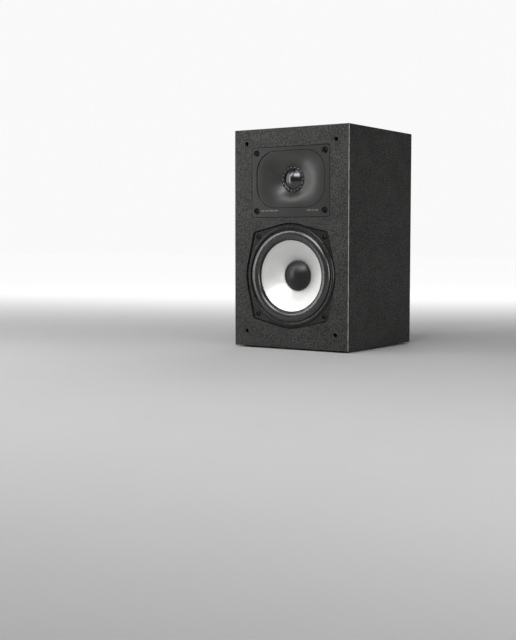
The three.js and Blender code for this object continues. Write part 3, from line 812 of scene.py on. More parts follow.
def combine(
    obj: bpy.types.Object, tools: Sequence[bpy.types.Object], operation: str
) -> bpy.types.Object:
    """Cuts or joins closed solids and removes the tools.

    Args:
        obj: The solid that is kept.
        tools: The solids that are taken away or added.
        operation: "DIFFERENCE" or "UNION".

    Returns:
        The same object with a new mesh.
    """
    for tool in tools:
        modifier = obj.modifiers.new("combine", "BOOLEAN")
        modifier.object = tool
        modifier.operation = operation
        modifier.solver = "MANIFOLD"
    settle_modifiers(obj)
    for tool in tools:
        bpy.data.objects.remove(tool)
    return obj


def soften(obj: bpy.types.Object, width: float, segments: int = 3, angle: float = 45.0) -> bpy.types.Object:
    """Rounds sharp edges and evens out the shading of the flats beside them.

    Args:
        obj: A closed solid.
        width: Width of the round in millimetres.
        segments: Steps across it.
        angle: Edges sharper than this many degrees are rounded.

    Returns:
        The same object with a new mesh.
    """
    bevel = obj.modifiers.new("round", "BEVEL")
    bevel.width = width * MM
    bevel.segments = segments
    bevel.limit_method = "ANGLE"
    bevel.angle_limit = math.radians(angle)
    bevel.use_clamp_overlap = True
    settle_modifiers(obj)
    obj.data.shade_smooth()
    obj.data.set_sharp_from_angle(angle=math.radians(50))
    weighted = obj.modifiers.new("even", "WEIGHTED_NORMAL")
    weighted.keep_sharp = True
    weighted.weight = 100
    return settle_modifiers(obj)


# --------------------------------------------------------------------------------------------------
# Patterns made by Geometry Nodes


class Pattern:
    """A Geometry Nodes tree that lays copies of one template and ends as a plain mesh."""

    name: str = "pattern"

    def __init__(self) -> None:
        """Builds the tree with its named inputs."""
        self.tree = bpy.data.node_groups.new(self.name, "GeometryNodeTree")
        self.sockets: dict[str, str] = {}
        self.socket("Template", "NodeSocketObject")
        self.socket("Finish", "NodeSocketMaterial")
        self.tree.interface.new_socket("Geometry", in_out="OUTPUT", socket_type="NodeSocketGeometry")
        self.entry = self.tree.nodes.new("NodeGroupInput")
        points, rotation = self.points()
        template = add_node(self.tree, "GeometryNodeObjectInfo", inputs={"Object": self.value("Template")})
        inputs = {"Points": points, "Instance": template.outputs["Geometry"]}
        if rotation is not None:
            inputs["Rotation"] = rotation
        copies = add_node(self.tree, "GeometryNodeInstanceOnPoints", inputs=inputs)
        solid = add_node(self.tree, "GeometryNodeRealizeInstances", inputs={"Geometry": copies.outputs[0]})
        dressed = add_node(
            self.tree,
            "GeometryNodeSetMaterial",
            inputs={"Geometry": solid.outputs[0], "Material": self.value("Finish")},
        )
        add_node(self.tree, "NodeGroupOutput", inputs={0: dressed.outputs[0]})

    def socket(self, name: str, kind: str, default: Any = None) -> None:
        """Adds a named input.

        Args:
            name: The input's name.
            kind: Its socket type.
            default: Its value when none is given.
        """
        made = self.tree.interface.new_socket(name, in_out="INPUT", socket_type=kind)
        if default is not None:
            made.default_value = default
        self.sockets[name] = made.identifier

    def value(self, name: str) -> bpy.types.NodeSocket:
        """The group input's socket of that name."""
        return self.entry.outputs[name]

    def points(self) -> tuple[bpy.types.NodeSocket, bpy.types.NodeSocket | None]:
        """The points that take a copy, and each copy's rotation."""
        raise NotImplementedError

    def lay(
        self, name: str, template: bpy.types.Object, finish: Finish, **values: Any
    ) -> bpy.types.Object:
        """Lays the copies as one new mesh object and removes the template.

        Args:
            name: The new object's name.
            template: What is copied, made round the world's origin.
            finish: Its finish.
            values: The tree's other inputs, underscores for spaces.

        Returns:
            The new object, at the origin.
        """
        carrier = bpy.data.objects.new(name, bpy.data.meshes.new(name))
        bpy.context.scene.collection.objects.link(carrier)
        modifier = carrier.modifiers.new("pattern", "NODES")
        modifier.node_group = self.tree
        modifier[self.sockets["Template"]] = template
        modifier[self.sockets["Finish"]] = finish.material()
        for key, value in values.items():
            modifier[self.sockets[key.replace("_", " ")]] = value
        settle_modifiers(carrier)
        bpy.data.objects.remove(template)
        return carrier


class CornerPattern(Pattern):
    """Copies at the four corners of a rectangle that stands or lies, centred on a point."""

    name: str = "four_corners"

    def points(self) -> tuple[bpy.types.NodeSocket, bpy.types.NodeSocket | None]:
        """Corner points of a two by two grid, turned and moved into place.

        Returns:
            The points, and no rotation.
        """
        self.socket("Width", "NodeSocketFloat", 0.1)
        self.socket("Height", "NodeSocketFloat", 0.1)
        self.socket("Turn", "NodeSocketVector", (0.0, 0.0, 0.0))
        self.socket("Centre", "NodeSocketVector", (0.0, 0.0, 0.0))
        grid = add_node(
            self.tree,
            "GeometryNodeMeshGrid",
            inputs={
                "Size X": self.value("Width"),
                "Size Y": self.value("Height"),
                "Vertices X": 2,
                "Vertices Y": 2,
            },
        )
        stood = add_node(
            self.tree,
            "GeometryNodeTransform",
            inputs={
                "Geometry": grid.outputs["Mesh"],
                "Translation": self.value("Centre"),
                "Rotation": self.value("Turn"),
            },
        )
        return stood.outputs[0], None


class RingPattern(Pattern):
    """Copies round a circle about an axis along Y, each turned with the circle."""

    name: str = "round_ring"

    def points(self) -> tuple[bpy.types.NodeSocket, bpy.types.NodeSocket | None]:
        """Points of a circle that stands in the XZ plane, and the rotation that follows it.

        Returns:
            The points and their rotation.
        """
        self.socket("Count", "NodeSocketInt", 12)
        self.socket("Radius", "NodeSocketFloat", 0.01)
        self.socket("Centre", "NodeSocketVector", (0.0, 0.0, 0.0))
        ring = add_node(
            self.tree,
            "GeometryNodeMeshCircle",
            inputs={"Vertices": self.value("Count"), "Radius": self.value("Radius")},
        )
        stood = add_node(
            self.tree,
            "GeometryNodeTransform",
            inputs={"Geometry": ring.outputs["Mesh"], "Rotation": (math.pi / 2, 0.0, 0.0)},
        )
        place = add_node(self.tree, "GeometryNodeInputPosition").outputs[0]
        along = add_node(
            self.tree, "FunctionNodeAlignRotationToVector", {"axis": "X"}, {"Vector": place}
        ).outputs[0]
        held = add_node(
            self.tree,
            "GeometryNodeStoreNamedAttribute",
            {"data_type": "QUATERNION", "domain": "POINT"},
            {"Geometry": stood.outputs[0], "Name": "facing", "Value": along},
        )
        moved = add_node(
            self.tree,
            "GeometryNodeTransform",
            inputs={"Geometry": held.outputs[0], "Translation": self.value("Centre")},
        )
        facing = add_node(
            self.tree, "GeometryNodeInputNamedAttribute", {"data_type": "QUATERNION"}, {"Name": "facing"}
        )
        return moved.outputs[0], facing.outputs[0]


@dataclass
class Workshop:
    """What every sub-assembly needs: the two patterns and the way a piece joins the frame."""

    corners: CornerPattern
    rings: RingPattern

    def fit(
        self,
        piece: bpy.types.Object,
        finish: Finish,
        slot: str,
        nodes: Sequence[str] = (),
        body: str = "root",
    ) -> bpy.types.Object:
        """Dresses a piece, ties it to its body, and hides the nodes it stands for.

        Args:
            piece: The piece, at the origin.
            finish: Its finish.
            slot: Its slot in the record; not used.
            nodes: CAD nodes it replaces.
            body: The body it rides.

        Returns:
            The piece.
        """
        piece.data.materials.clear()
        piece.data.materials.append(finish.material())
        if nodes:
            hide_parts(*nodes)
        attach(piece, body)
        LOG.info("%s: %d faces on %s", piece.name, len(piece.data.polygons), body)
        return piece

    def fit_corners(
        self, name: str, template: bpy.types.Object, finish: Finish, slot: str, stem: str, y: float
    ) -> bpy.types.Object:
        """Lays a template at the four corner nodes of one stem and fits the copies in their place.

        Args:
            name: The new piece's name.
            template: What is copied, made round the world's origin with its front at Y 0.
            finish: Its finish.
            slot: Its slot in the record.
            stem: The nodes' name without the corner.
            y: Where the template's origin goes in depth.

        Returns:
            The piece.
        """
        low, high = NodeBox.of(f"{stem}_left_lower"), NodeBox.of(f"{stem}_right_upper")
        piece = self.corners.lay(
            name,
            template,
            finish,
            Width=(high.middle(0) - low.middle(0)) * MM,
            Height=(high.middle(2) - low.middle(2)) * MM,
            Turn=(math.pi / 2, 0.0, 0.0),
            Centre=(0.0, y * MM, (low.middle(2) + high.middle(2)) / 2 * MM),
        )
        return self.fit(piece, finish, slot, corner_nodes(stem))

    def bend(
        self,
        piece: bpy.types.Object,
        finish: Finish,
        slot: str,
        nodes: Sequence[str],
        body: str,
        still: float,
        moving: float,
        z: float,
    ) -> bpy.types.Object:
        """Dresses a ring-shaped piece that in the real speaker is held at one radius and moves at the other,
        and hides the nodes it replaces.

        Args:
            piece: The ring-shaped piece, about an axis along Y through x 0.
            finish: Its finish.
            slot: Its slot in the record; not used.
            nodes: CAD nodes it replaces.
            body: The moving body.
            still: Radius in millimetres where it stays with the cabinet; not used.
            moving: Radius in millimetres where it moves with the body; not used.
            z: The axis's height in millimetres; not used.

        Returns:
            The piece.
        """
        piece.data.materials.clear()
        piece.data.materials.append(finish.material())
        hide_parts(*nodes)
        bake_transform(piece)
        LOG.info("%s: %d faces, bends with %s", piece.name, len(piece.data.polygons), body)
        return piece


CORNER_NAMES = ("left_lower", "right_lower", "left_upper", "right_upper")


def corner_nodes(stem: str) -> list[str]:
    """The four CAD nodes of a piece that sits in the front's corners."""
    return [f"{stem}_{corner}" for corner in CORNER_NAMES]


def screw_template(
    head: float, height: float, recess: float, shank: float = 1.5, length: float = 15.0
) -> bpy.types.Object:
    """A pan-head screw with a hexagonal recess, its head's top at the origin and its shank along +Y.

    Args:
        head: Head radius.
        height: Head height.
        recess: Radius of the recess's corners.
        shank: Shank radius.
        length: Shank length.

    Returns:
        The template object.
    """
    line = filleted(
        [
            (0, 0),
            (head - 0.9, 0, 0.3),
            (head, 0.9, 0.5),
            (head, height, 0.15),
            (shank, height, 0.1),
            (shank, height + length - 2.5),
            (0, height + length),
        ]
    )
    body = turn("screw", line, 0, 0, 40, closed=False)
    hexagon = prism("hexagon", circle(0, 0, recess, 6), -1, height * 0.7)
    combine(body, [hexagon], "DIFFERENCE")
    return soften(body, 0.08, 2, 50)


# --------------------------------------------------------------------------------------------------
# Cabinet


def eared_outline(
    frame_radius: float, reach: float, ear: float, grow: float, steps: int = 28
) -> list[Point]:
    """A circle drawn out by straight tangents to four rounded ears.

    Args:
        frame_radius: The circle's radius.
        reach: Distance from the circle's centre to an ear's centre.
        ear: Radius of an ear.
        grow: How far the outline stands outside the frame's own.
        steps: Segments in each quarter of the circle.

    Returns:
        The outline's points.
    """
    lean = math.degrees(math.acos((frame_radius - ear) / reach))
    outline: list[Point] = []
    for angle in (45, 135, 225, 315):
        x = reach * math.cos(math.radians(angle))
        z = WOOFER_Z + reach * math.sin(math.radians(angle))
        outline += arc(x, z, ear + grow, angle - lean, angle + lean, 12)
        outline += arc(0, WOOFER_Z, frame_radius + grow, angle + lean, angle + 90 - lean, steps)
    return outline


@dataclass
class Cabinet:
    """The wrapped board box with its rebates, rear board, feet, grille sockets and wadding."""

    shop: Workshop
    wall: float = 12.0
    baffle: float = 15.0
    edge: float = 0.9
    rebate_gap: float = 1.3
    rebate_depth: float = 6.5
    woofer_hole: float = 58.3
    plate_gap: float = 0.6
    plate_rebate: float = 5.0
    socket_rim: float = 4.75
    socket_gap: float = 0.35
    port_hole: float = 27.8

    def box(self) -> None:
        """The folded box with the baffle, as one wrapped body."""
        outer = prism(
            "wrapped_box",
            [(-HALF_WIDTH, BOTTOM), (HALF_WIDTH, BOTTOM), (HALF_WIDTH, TOP), (-HALF_WIDTH, TOP)],
            FRONT,
            BACK,
        )
        soften(outer, self.edge, 4)
        inside = node_outline(BAFFLE, 0.5, 2, -self.wall)
        plate = node_outline(NodeBox.of("tweeter_horn_plate"), 1.8, grow=self.plate_gap)
        before, behind = FRONT - 1, FRONT + self.baffle + 1
        tools = [
            prism("room", inside, FRONT + self.baffle, BACK + 1),
            prism("woofer_rebate", Woofer.outline(self.rebate_gap), before, FRONT + self.rebate_depth),
            prism("woofer_hole", circle(0, WOOFER_Z, self.woofer_hole, 128), before, behind),
            prism("plate_rebate", plate, before, FRONT + self.plate_rebate),
            prism("horn_hole", HornTweeter.clearance(), before, behind),
        ]
        for node in corner_nodes("grille_socket"):
            place = NodeBox.of(node)
            hole = circle(place.middle(0), place.middle(2), self.socket_rim + self.socket_gap, 40)
            tools.append(prism(f"hole_{node}", hole, before, FRONT + self.baffle - 2))
        combine(outer, tools, "DIFFERENCE")
        soften(outer, 0.22, 2, 60)
        walls = ["front_baffle", "top_panel", "bottom_panel", "left_panel", "right_panel"]
        self.shop.fit(outer, Finish.VINYL, "cabinet_vinyl", walls)

    def rear_board(self) -> None:
        """The board let in between the walls, with the port's and the terminal cup's holes."""
        place = NodeBox.of("rear_panel")
        holes = [circle(0, PORT_Z, self.port_hole, 96), TerminalCup.shell_outline(0.3)]
        board = prism("rear_board", node_outline(place, 0.6, 3), place.low[1], place.high[1], holes)
        soften(board, 0.4, 3, 60)
        self.shop.fit(board, Finish.VINYL, "cabinet_vinyl", ["rear_panel"])

    def feet(self) -> None:
        """Four rubber discs with a rounded lower rim."""
        place = NodeBox.of("foot_front_right")
        far = NodeBox.of("foot_rear_right")
        height = place.size(2)
        line = filleted([(0, 0), (6.4, 0, 0.5), (7.0, height - 0.4, 0.3), (6.9, height), (0, height)])
        foot = turn("foot", line, 0, 0, 48, closed=False)
        foot.data.transform(Matrix.Rotation(math.pi / 2, 4, "X"))
        centre = (0.0, (place.middle(1) + far.middle(1)) / 2 * MM, place.low[2] * MM)
        feet = self.shop.corners.lay(
            "rubber_feet",
            foot,
            Finish.RUBBER,
            Width=2 * place.middle(0) * MM,
            Height=(far.middle(1) - place.middle(1)) * MM,
            Centre=centre,
        )
        nodes = [f"foot_{side}" for side in ("front_left", "front_right", "rear_left", "rear_right")]
        self.shop.fit(feet, Finish.RUBBER, "black_rubber", nodes)

    def sockets(self) -> None:
        """Four rubber cups for the grille's pegs, each with a raised ring round a deep hole."""
        rim = self.socket_rim
        line = filleted(
            [
                (0, 10.0),
                (2.8, 10.0, 0.3),
                (2.85, 0.9, 0.2),
                (3.2, 0.05, 0.2),
                (3.6, -0.2, 0.2),
                (rim - 0.35, -0.2, 0.25),
                (rim, 0.2, 0.15),
                (rim, 0.5),
                (4.0, 0.5),
                (4.0, 11.0, 0.4),
                (0, 11.0),
            ]
        )
        cup = turn("socket", line, 0, 0, 48, closed=False)
        self.shop.fit_corners(
            "grille_socket_cups", cup, Finish.RUBBER, "black_rubber", "grille_socket", FRONT
        )

    def wadding(self) -> None:
        """A soft slab under the top with round edges."""
        place = NodeBox.of("damping_wadding")
        slab = prism("damping_slab", node_outline(place, 6.0), place.low[1], place.high[1])
        soften(slab, 4.0, 4, 50)
        self.shop.fit(slab, Finish.WADDING, "wadding", ["damping_wadding"])

    def build(self) -> None:
        """Builds every piece of the cabinet."""
        self.box()
        self.rear_board()
        self.feet()
        self.sockets()
        self.wadding()


# --------------------------------------------------------------------------------------------------
# Woofer


@dataclass
class Woofer:
    """The 130 mm drive unit: eared frame, roll surround, pale cone, dust cap and its motor."""

    shop: Workshop
    body: str = "woofer_diaphragm"
    flange_front: float = 2.0
    flange_back: float = 5.2
    rim_inner: float = 59.0
    seat: float = 59.04
    rim_outer: float = 62.6
    spokes: int = 6

    @staticmethod
    def outline(grow: float) -> list[Point]:
        """The frame's outline, grown by so many millimetres; its ears sit on a 102 mm square."""
        return eared_outline(64.3, 51 * math.sqrt(2), 3.0, grow)

    def chassis(self) -> None:
        """Eared flange, raised rim and the spoked basket behind it, joined as one moulding."""
        flange = prism(
            "basket_frame",
            self.outline(0),
            FRONT + self.flange_front,
            FRONT + self.flange_back,
            [circle(0, WOOFER_Z, 56, 128)],
        )
        rim = turn(
            "rim",
            filleted(
                at_depth(
                    [
                        (self.rim_inner, 3.0),
                        (self.rim_inner, 0.5, 0.25),
                        (self.rim_inner + 0.8, 0.2, 0.3),
                        (self.rim_outer - 0.6, 0.2, 0.5),
                        (self.rim_outer + 0.3, 1.2, 0.4),
                        (self.rim_outer + 0.9, 3.0),
                    ]
                ),
                closed=True,
            ),
            0,
            WOOFER_Z,
        )
        basket = turn(
            "basket",
            at_depth(
                [
                    (55.3, 4.8),
                    (42, 29.3),
                    (38, 29.3),
                    (36, 34),
                    (17, 34),
                    (17, 37.7),
                    (44, 37.7),
                    (44, 32),
                    (57.6, 4.8),
                ]
            ),
            0,
            WOOFER_Z,
        )
        combine(flange, [rim, basket], "UNION")
        seat = at_depth([(0, -1), (self.seat, -1), (self.seat, 3.4), (0, 3.4)])
        cuts = [turn("seat", seat, 0, WOOFER_Z, 112, closed=False)]
        for k in range(self.spokes):
            angle = 2 * math.pi * (k + 0.5) / self.spokes
            window = prism("window", rounded_rectangle(54, 0, 30, 34, 5, 5), FRONT + 8, FRONT + 26)
            window.data.transform(Matrix.Rotation(-angle, 4, "Y"))
            window.data.transform(Matrix.Translation((0, 0, WOOFER_Z * MM)))
            cuts.append(window)
        for node in corner_nodes("woofer_screw"):
            place = NodeBox.of(node)
            hole = circle(place.middle(0), place.middle(2), 2.1, 24)
            cuts.append(prism("hole", hole, FRONT, FRONT + self.flange_back + 1))
        combine(flange, cuts, "DIFFERENCE")
        soften(flange, 0.3, 3, 42)
        self.shop.fit(flange, Finish.BASKET, "frame_plastic", ["woofer_frame"])

    def surround(self) -> None:
        """The rubber half-roll, glued to the cone inside and to the frame outside."""
        inner, outer, lip, base, apex, wall = 45.8, 57.4, 58.6, 2.3, -1.4, 0.6
        middle, half = (inner + outer) / 2, (outer - inner) / 2
        steps = 28
        roll = []
        for k in range(steps + 1):
            angle = math.pi * (1 - k / steps)
            roll.append((middle + half * math.cos(angle), base - (base - apex) * math.sin(angle) ** 0.85))
        front = [(44.3, base), (45.2, base), *roll, (58.0, base), (lip, base)]
        line = at_depth(front + [(r, d + wall) for r, d in reversed(front)])
        ring = turn("roll_surround", line, 0, WOOFER_Z, 160, crease=70)
        still, moving = lip - 1.2, inner - 0.4
        self.shop.bend(
            ring, Finish.ROLL, "surround_rubber", ["woofer_surround"], self.body, still, moving, WOOFER_Z
        )

    @staticmethod
    def cone_line(steps: int = 28) -> list[Point]:
        """The cone's front side from its edge to its neck, steeper towards the neck.

        Args:
            steps: Segments along it.

        Returns:
            Its (radius, depth) points.
        """
        edge, pull, neck = Vector((44.8, 3.3)), Vector((22.0, 14.0)), Vector((13.2, 25.0))
        points = []
        for k in range(steps + 1):
            t = k / steps
            points.append(tuple(edge * (1 - t) ** 2 + pull * 2 * t * (1 - t) + neck * t**2))
        return points

    def cone(self) -> None:
        """The curved cone, a thin even wall with a rounded edge."""
        front = self.cone_line()
        line = at_depth(front + [(r, d + 0.7) for r, d in reversed(front)])
        cone = turn("cone_shell", line, 0, WOOFER_Z, 160, crease=60)
        self.shop.fit(cone, Finish.CONE, "cone", ["woofer_cone"], self.body)

    def dust_cap(self) -> None:
        """A domed cap with a flat glued rim round it."""
        radius, rise, rim_depth = 16.6, 5.4, 17.3
        sphere = (radius**2 + rise**2) / (2 * rise)
        reach = math.asin(radius / sphere)
        dome = []
        for k in range(21):
            angle = reach * k / 20
            dome.append((sphere * math.sin(angle), rim_depth - rise + sphere * (1 - math.cos(angle))))
        rim = filleted(
            [
                dome[-1],
                (16.9, 17.45, 0.15),
                (17.4, 17.0, 0.25),
                (18.5, 17.3, 0.35),
                (18.95, 18.5, 0.2),
                (18.6, 18.9),
            ]
        )
        back = [(r, d + 0.5) for r, d in reversed(dome)]
        line = at_depth(dome + rim[1:] + [(16.8, 18.6)] + back)
        cap = turn("dust_dome", line, 0, WOOFER_Z, 128, closed=False, crease=50)
        self.shop.fit(cap, Finish.CAP, "dust_cap", ["woofer_dust_cap"], self.body)

    def spider(self) -> None:
        """The corrugated cloth disc that centres the coil."""
        steps, waves = 96, 5
        front = [(13.4, 28.2), (15.0, 28.2)]
        for k in range(steps + 1):
            share = k / steps
            ease = min(1.0, 6 * share, 6 * (1 - share))
            front.append((15.2 + 22.5 * share, 28.2 + ease * math.sin(2 * math.pi * waves * share)))
        front += [(38.0, 28.2), (40.8, 28.2)]
        line = at_depth(front + [(r, d + 0.4) for r, d in reversed(front)])
        disc = turn("corrugated_spider", line, 0, WOOFER_Z, 96, crease=70)
        self.shop.bend(
            disc, Finish.COTTON, "spider_cloth", ["woofer_spider"], self.body, 38.5, 14.5, WOOFER_Z
        )

    def screws(self) -> None:
        """Four black screws through the ears."""
        screw = screw_template(3.2, 1.7, 1.55)
        self.shop.fit_corners(
            "woofer_screws", screw, Finish.BLACK_OXIDE, "black_screw", "woofer_screw", FRONT + 0.15
        )

    def leads(self) -> None:
        """Two braided leads from the terminal strip to the cone."""
        for side in ("lower", "upper"):
            node = f"woofer_tinsel_lead_{side}"
            place = NodeBox.of(node)
            z = place.middle(2)
            points = [
                (42.8, FRONT + 18.6),
                (40.6, FRONT + 20.4),
                (38.0, FRONT + 22.2),
                (34.6, FRONT + 22.6),
                (31.0, FRONT + 21.6),
                (28.0, FRONT + 19.4),
                (25.9, FRONT + 17.1),
            ]
            lead = strand(f"tinsel_lead_{side}", [(x, y, z) for x, y in points], 0.5)
            lead.data.materials.append(Finish.COPPER.material())
            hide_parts(node)
            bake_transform(lead)
            LOG.info("%s: %d faces, bends with %s", lead.name, len(lead.data.polygons), self.body)

    def build(self) -> None:
        """Builds every piece of the woofer."""
        self.chassis()
        self.surround()
        self.cone()
        self.dust_cap()
        self.spider()
        self.screws()
        self.leads()


def strand(
    name: str, points: Sequence[Sequence[float]], radius: float, sides: int = 12
) -> bpy.types.Object:
    """A smooth round wire led by points, with closed ends, as a plain mesh.

    Args:
        name: The object's name.
        points: The wire's route in millimetres.
        radius: The wire's radius.
        sides: Sides of its section.

    Returns:
        The wire.
    """
    curve = bpy.data.curves.new(name, "CURVE")
    curve.dimensions = "3D"
    curve.resolution_u = 8
    spline = curve.splines.new("NURBS")
    spline.points.add(len(points) - 1)
    for point, place in zip(spline.points, points):
        point.co = (*[c * MM for c in place], 1.0)
    spline.order_u = 4
    spline.use_endpoint_u = True
    curve.bevel_depth = radius * MM
    curve.bevel_resolution = sides // 4
    curve.use_fill_caps = True
    carrier = bpy.data.objects.new(name, curve)
    bpy.context.scene.collection.objects.link(carrier)
    mesh = evaluated_mesh(carrier)
    bpy.data.objects.remove(carrier)
    close_skin(mesh, 1e-6)
    obj = bpy.data.objects.new(name, mesh)
    bpy.context.scene.collection.objects.link(obj)
    mesh.set_sharp_from_angle(angle=math.radians(50))
    return obj


# --------------------------------------------------------------------------------------------------
# Tweeter


@dataclass
class HornTweeter:
    """The horn plate with its flare, the notched ring, the dome and its surround."""

    shop: Workshop
    body: str = "tweeter_diaphragm"
    half_width: float = 50.0
    half_height: float = 35.5
    corner: float = 27.0
    throat: float = 16.5
    step: float = 0.8
    groove: float = 0.7
    depth: float = 6.3
    flare: float = 2.4
    plate: float = 4.0
    back: float = 8.7
    wall: float = 2.2

    @staticmethod
    def clearance() -> list[Point]:
        """The hole that the horn's back passes through."""
        return rounded_rectangle(0, TWEETER_Z, 105.0, 76.0, 27.0, 16)

    def mouth_radius(self, angle: float, grow: float) -> float:
        """Distance from the horn's axis to its mouth's outline in one direction.

        Args:
            angle: The direction in radians, from +X towards +Z.
            grow: How far the outline stands outside the mouth.

        Returns:
            The distance.
        """
        c, s = abs(math.cos(angle)), abs(math.sin(angle))
        a, b, r = self.half_width + grow, self.half_height + grow, self.corner + grow
        if c > 1e-9 and a / c * s <= b - r:
            return a / c
        if s > 1e-9 and b / s * c <= a - r:
            return b / s
        along = c * (a - r) + s * (b - r)
        return along + math.sqrt(along**2 - (a - r) ** 2 - (b - r) ** 2 + r**2)

    def ring(
        self, share: float, depth: float, grow: float = 0.0, count: int = 160
    ) -> list[tuple[float, float, float]]:
        """One ring between the mouth and the throat.

        Args:
            share: 0 at the mouth, 1 at the throat.
            depth: How far behind the baffle's front.
            grow: How far it stands outside the horn's face.
            count: Points round it.

        Returns:
            The ring's points.
        """
        points = []
        for k in range(count):
            angle = 2 * math.pi * k / count
            mouth, throat = self.mouth_radius(angle, grow), self.throat + grow
            radius = mouth + (throat - mouth) * share
            points.append((radius * math.cos(angle), FRONT + depth, TWEETER_Z + radius * math.sin(angle)))
        return points

    def face(self) -> None:
        """The plate with the flare sunk into it, a fine groove round its mouth and four counterbores."""
        outline = node_outline(NodeBox.of("tweeter_horn_plate"), 1.5, 5)
        plate = prism("horn_plate", outline, FRONT, FRONT + self.plate)
        steps = 24
        shell = [self.ring(0, 1.0, self.wall)]
        shell += [
            self.ring(k / 8, self.back - self.depth * (1 - (k / 8) ** self.flare), self.wall) for k in range(9)
        ]
        combine(
            plate,
            [
                loft("shell", shell),
                prism("disc", circle(0, TWEETER_Z, 33, 96), FRONT + 6.5, FRONT + self.back),
            ],
            "UNION",
        )
        flare = [
            self.ring(0, -1.0),
            self.ring(0, self.step + self.groove),
            self.ring(0.4 / steps, self.step + self.groove),
            self.ring(0.75 / steps, self.step),
        ]
        for k in range(1, steps + 1):
            flare.append(self.ring(k / steps, self.step + self.depth * (k / steps) ** self.flare))
        flare.append(self.ring(1, self.back + 4))
        cuts = [loft("flare", flare)]
        for node in corner_nodes("tweeter_screw"):
            screw = NodeBox.of(node)
            x, z = screw.middle(0), screw.middle(2)
            cuts.append(prism("bore", circle(x, z, 4.2, 48), FRONT - 1, FRONT + 2.2))
            cuts.append(prism("hole", circle(x, z, 1.9, 24), FRONT - 1, FRONT + self.plate + 1))
        combine(plate, cuts, "DIFFERENCE")
        soften(plate, 0.22, 3, 38)
        self.shop.fit(plate, Finish.HORN, "horn_plastic", ["tweeter_horn_plate"])

    def print_bars(self) -> None:
        """Plain printed dashes along the lower edge, in place of any lettering."""
        z, height, lift = BOTTOM + 171.0, 1.3, 0.04
        vertices: list[tuple[float, float, float]] = []
        faces: list[tuple[int, ...]] = []
        for start, lengths in ((-42.5, (5.0, 4.0, 6.5, 5.0)), (24.5, (5.5, 3.0, 5.0))):
            x = start
            for length in lengths:
                outline = rounded_rectangle(x + length / 2, z, length, height, 0.3, 3)
                base, count = len(vertices), len(outline)
                vertices += [(px, FRONT - lift, pz) for px, pz in outline]
                vertices += [(px, FRONT + 0.1, pz) for px, pz in outline]
                faces.append(tuple(range(base, base + count)))
                faces.append(tuple(range(base + count, base + 2 * count)))
                for k in range(count):
                    a, b = base + k, base + (k + 1) % count
                    faces.append((a, b, b + count, a + count))
                x += length + 1.4
        bars = mesh_object("printed_bars", vertices, faces)
        bars.data.shade_flat()
        self.shop.fit(bars, Finish.INK, "horn_plastic")

    def notched_ring(self) -> None:
        """The black ring round the dome, with a ring of small pale ribs standing on it."""
        place = NodeBox.of("tweeter_notched_ring")
        line = filleted(
            [
                (13.0, place.high[1]),
                (13.0, place.low[1] + 0.25, 0.2),
                (13.5, place.low[1], 0.2),
                (15.6, place.low[1], 0.3),
                (16.2, place.low[1] + 0.5, 0.3),
                (16.2, place.high[1]),
            ],
            closed=True,
        )
        ring = turn("dome_ring", line, 0, TWEETER_Z, 128)
        self.shop.fit(ring, Finish.RING, "frame_plastic", ["tweeter_notched_ring"])
        rib = prism("rib", rounded_rectangle(0, 0, 0.7, 0.9, 0.2, 3), -0.3, 0.12)
        soften(rib, 0.08, 2, 50)
        ribs = self.shop.rings.lay(
            "dome_ring_ribs",
            rib,
            Finish.NOTCH,
            Count=18,
            Radius=14.6 * MM,
            Centre=(0.0, place.low[1] * MM, TWEETER_Z * MM),
        )
        self.shop.fit(ribs, Finish.NOTCH, "frame_plastic")

    def dome(self) -> None:
        """The domed diaphragm, a thin cap with a turned-in lower edge."""
        radius, rise, base = 12.5, 4.3, 7.9
        sphere = (radius**2 + rise**2) / (2 * rise)
        reach = math.asin(radius / sphere)
        front = []
        for k in range(25):
            angle = reach * k / 24
            front.append((sphere * math.sin(angle), base - rise + sphere * (1 - math.cos(angle))))
        line = at_depth(front + [(12.5, 8.2)] + [(r, d + 0.35) for r, d in reversed(front[:-1])])
        dome = turn("silk_dome", line, 0, TWEETER_Z, 128, closed=False, crease=50)
        self.shop.fit(dome, Finish.DOME, "dome_silk", ["tweeter_dome"], self.body)

    def roll(self) -> None:
        """The small roll that joins the dome to the plate, under the notched ring."""
        front = [(12.75, 8.2)]
        for k in range(9):
            angle = math.pi * (1 - k / 8)
            front.append((14.1 + 0.9 * math.cos(angle), 8.2 - 0.3 * math.sin(angle)))
        front += [(15.4, 8.3), (16.1, 8.3)]
        line = at_depth(front + [(r, d + 0.25) for r, d in reversed(front)])
        roll = turn("dome_roll", line, 0, TWEETER_Z, 96, crease=70)
        self.shop.bend(
            roll, Finish.DOME, "dome_silk", ["tweeter_dome_surround"], self.body, 15.4, 12.9, TWEETER_Z
        )

    def screws(self) -> None:
        """Four black screws sunk in the counterbores."""
        screw = screw_template(2.9, 1.5, 1.4)
        self.shop.fit_corners(
            "tweeter_screws", screw, Finish.BLACK_OXIDE, "black_screw", "tweeter_screw", FRONT + 0.55
        )

    def build(self) -> None:
        """Builds every piece of the tweeter."""
        self.face()
        self.print_bars()
        self.notched_ring()
        self.dome()
        self.roll()
        self.screws()


# --------------------------------------------------------------------------------------------------
# Rear fittings


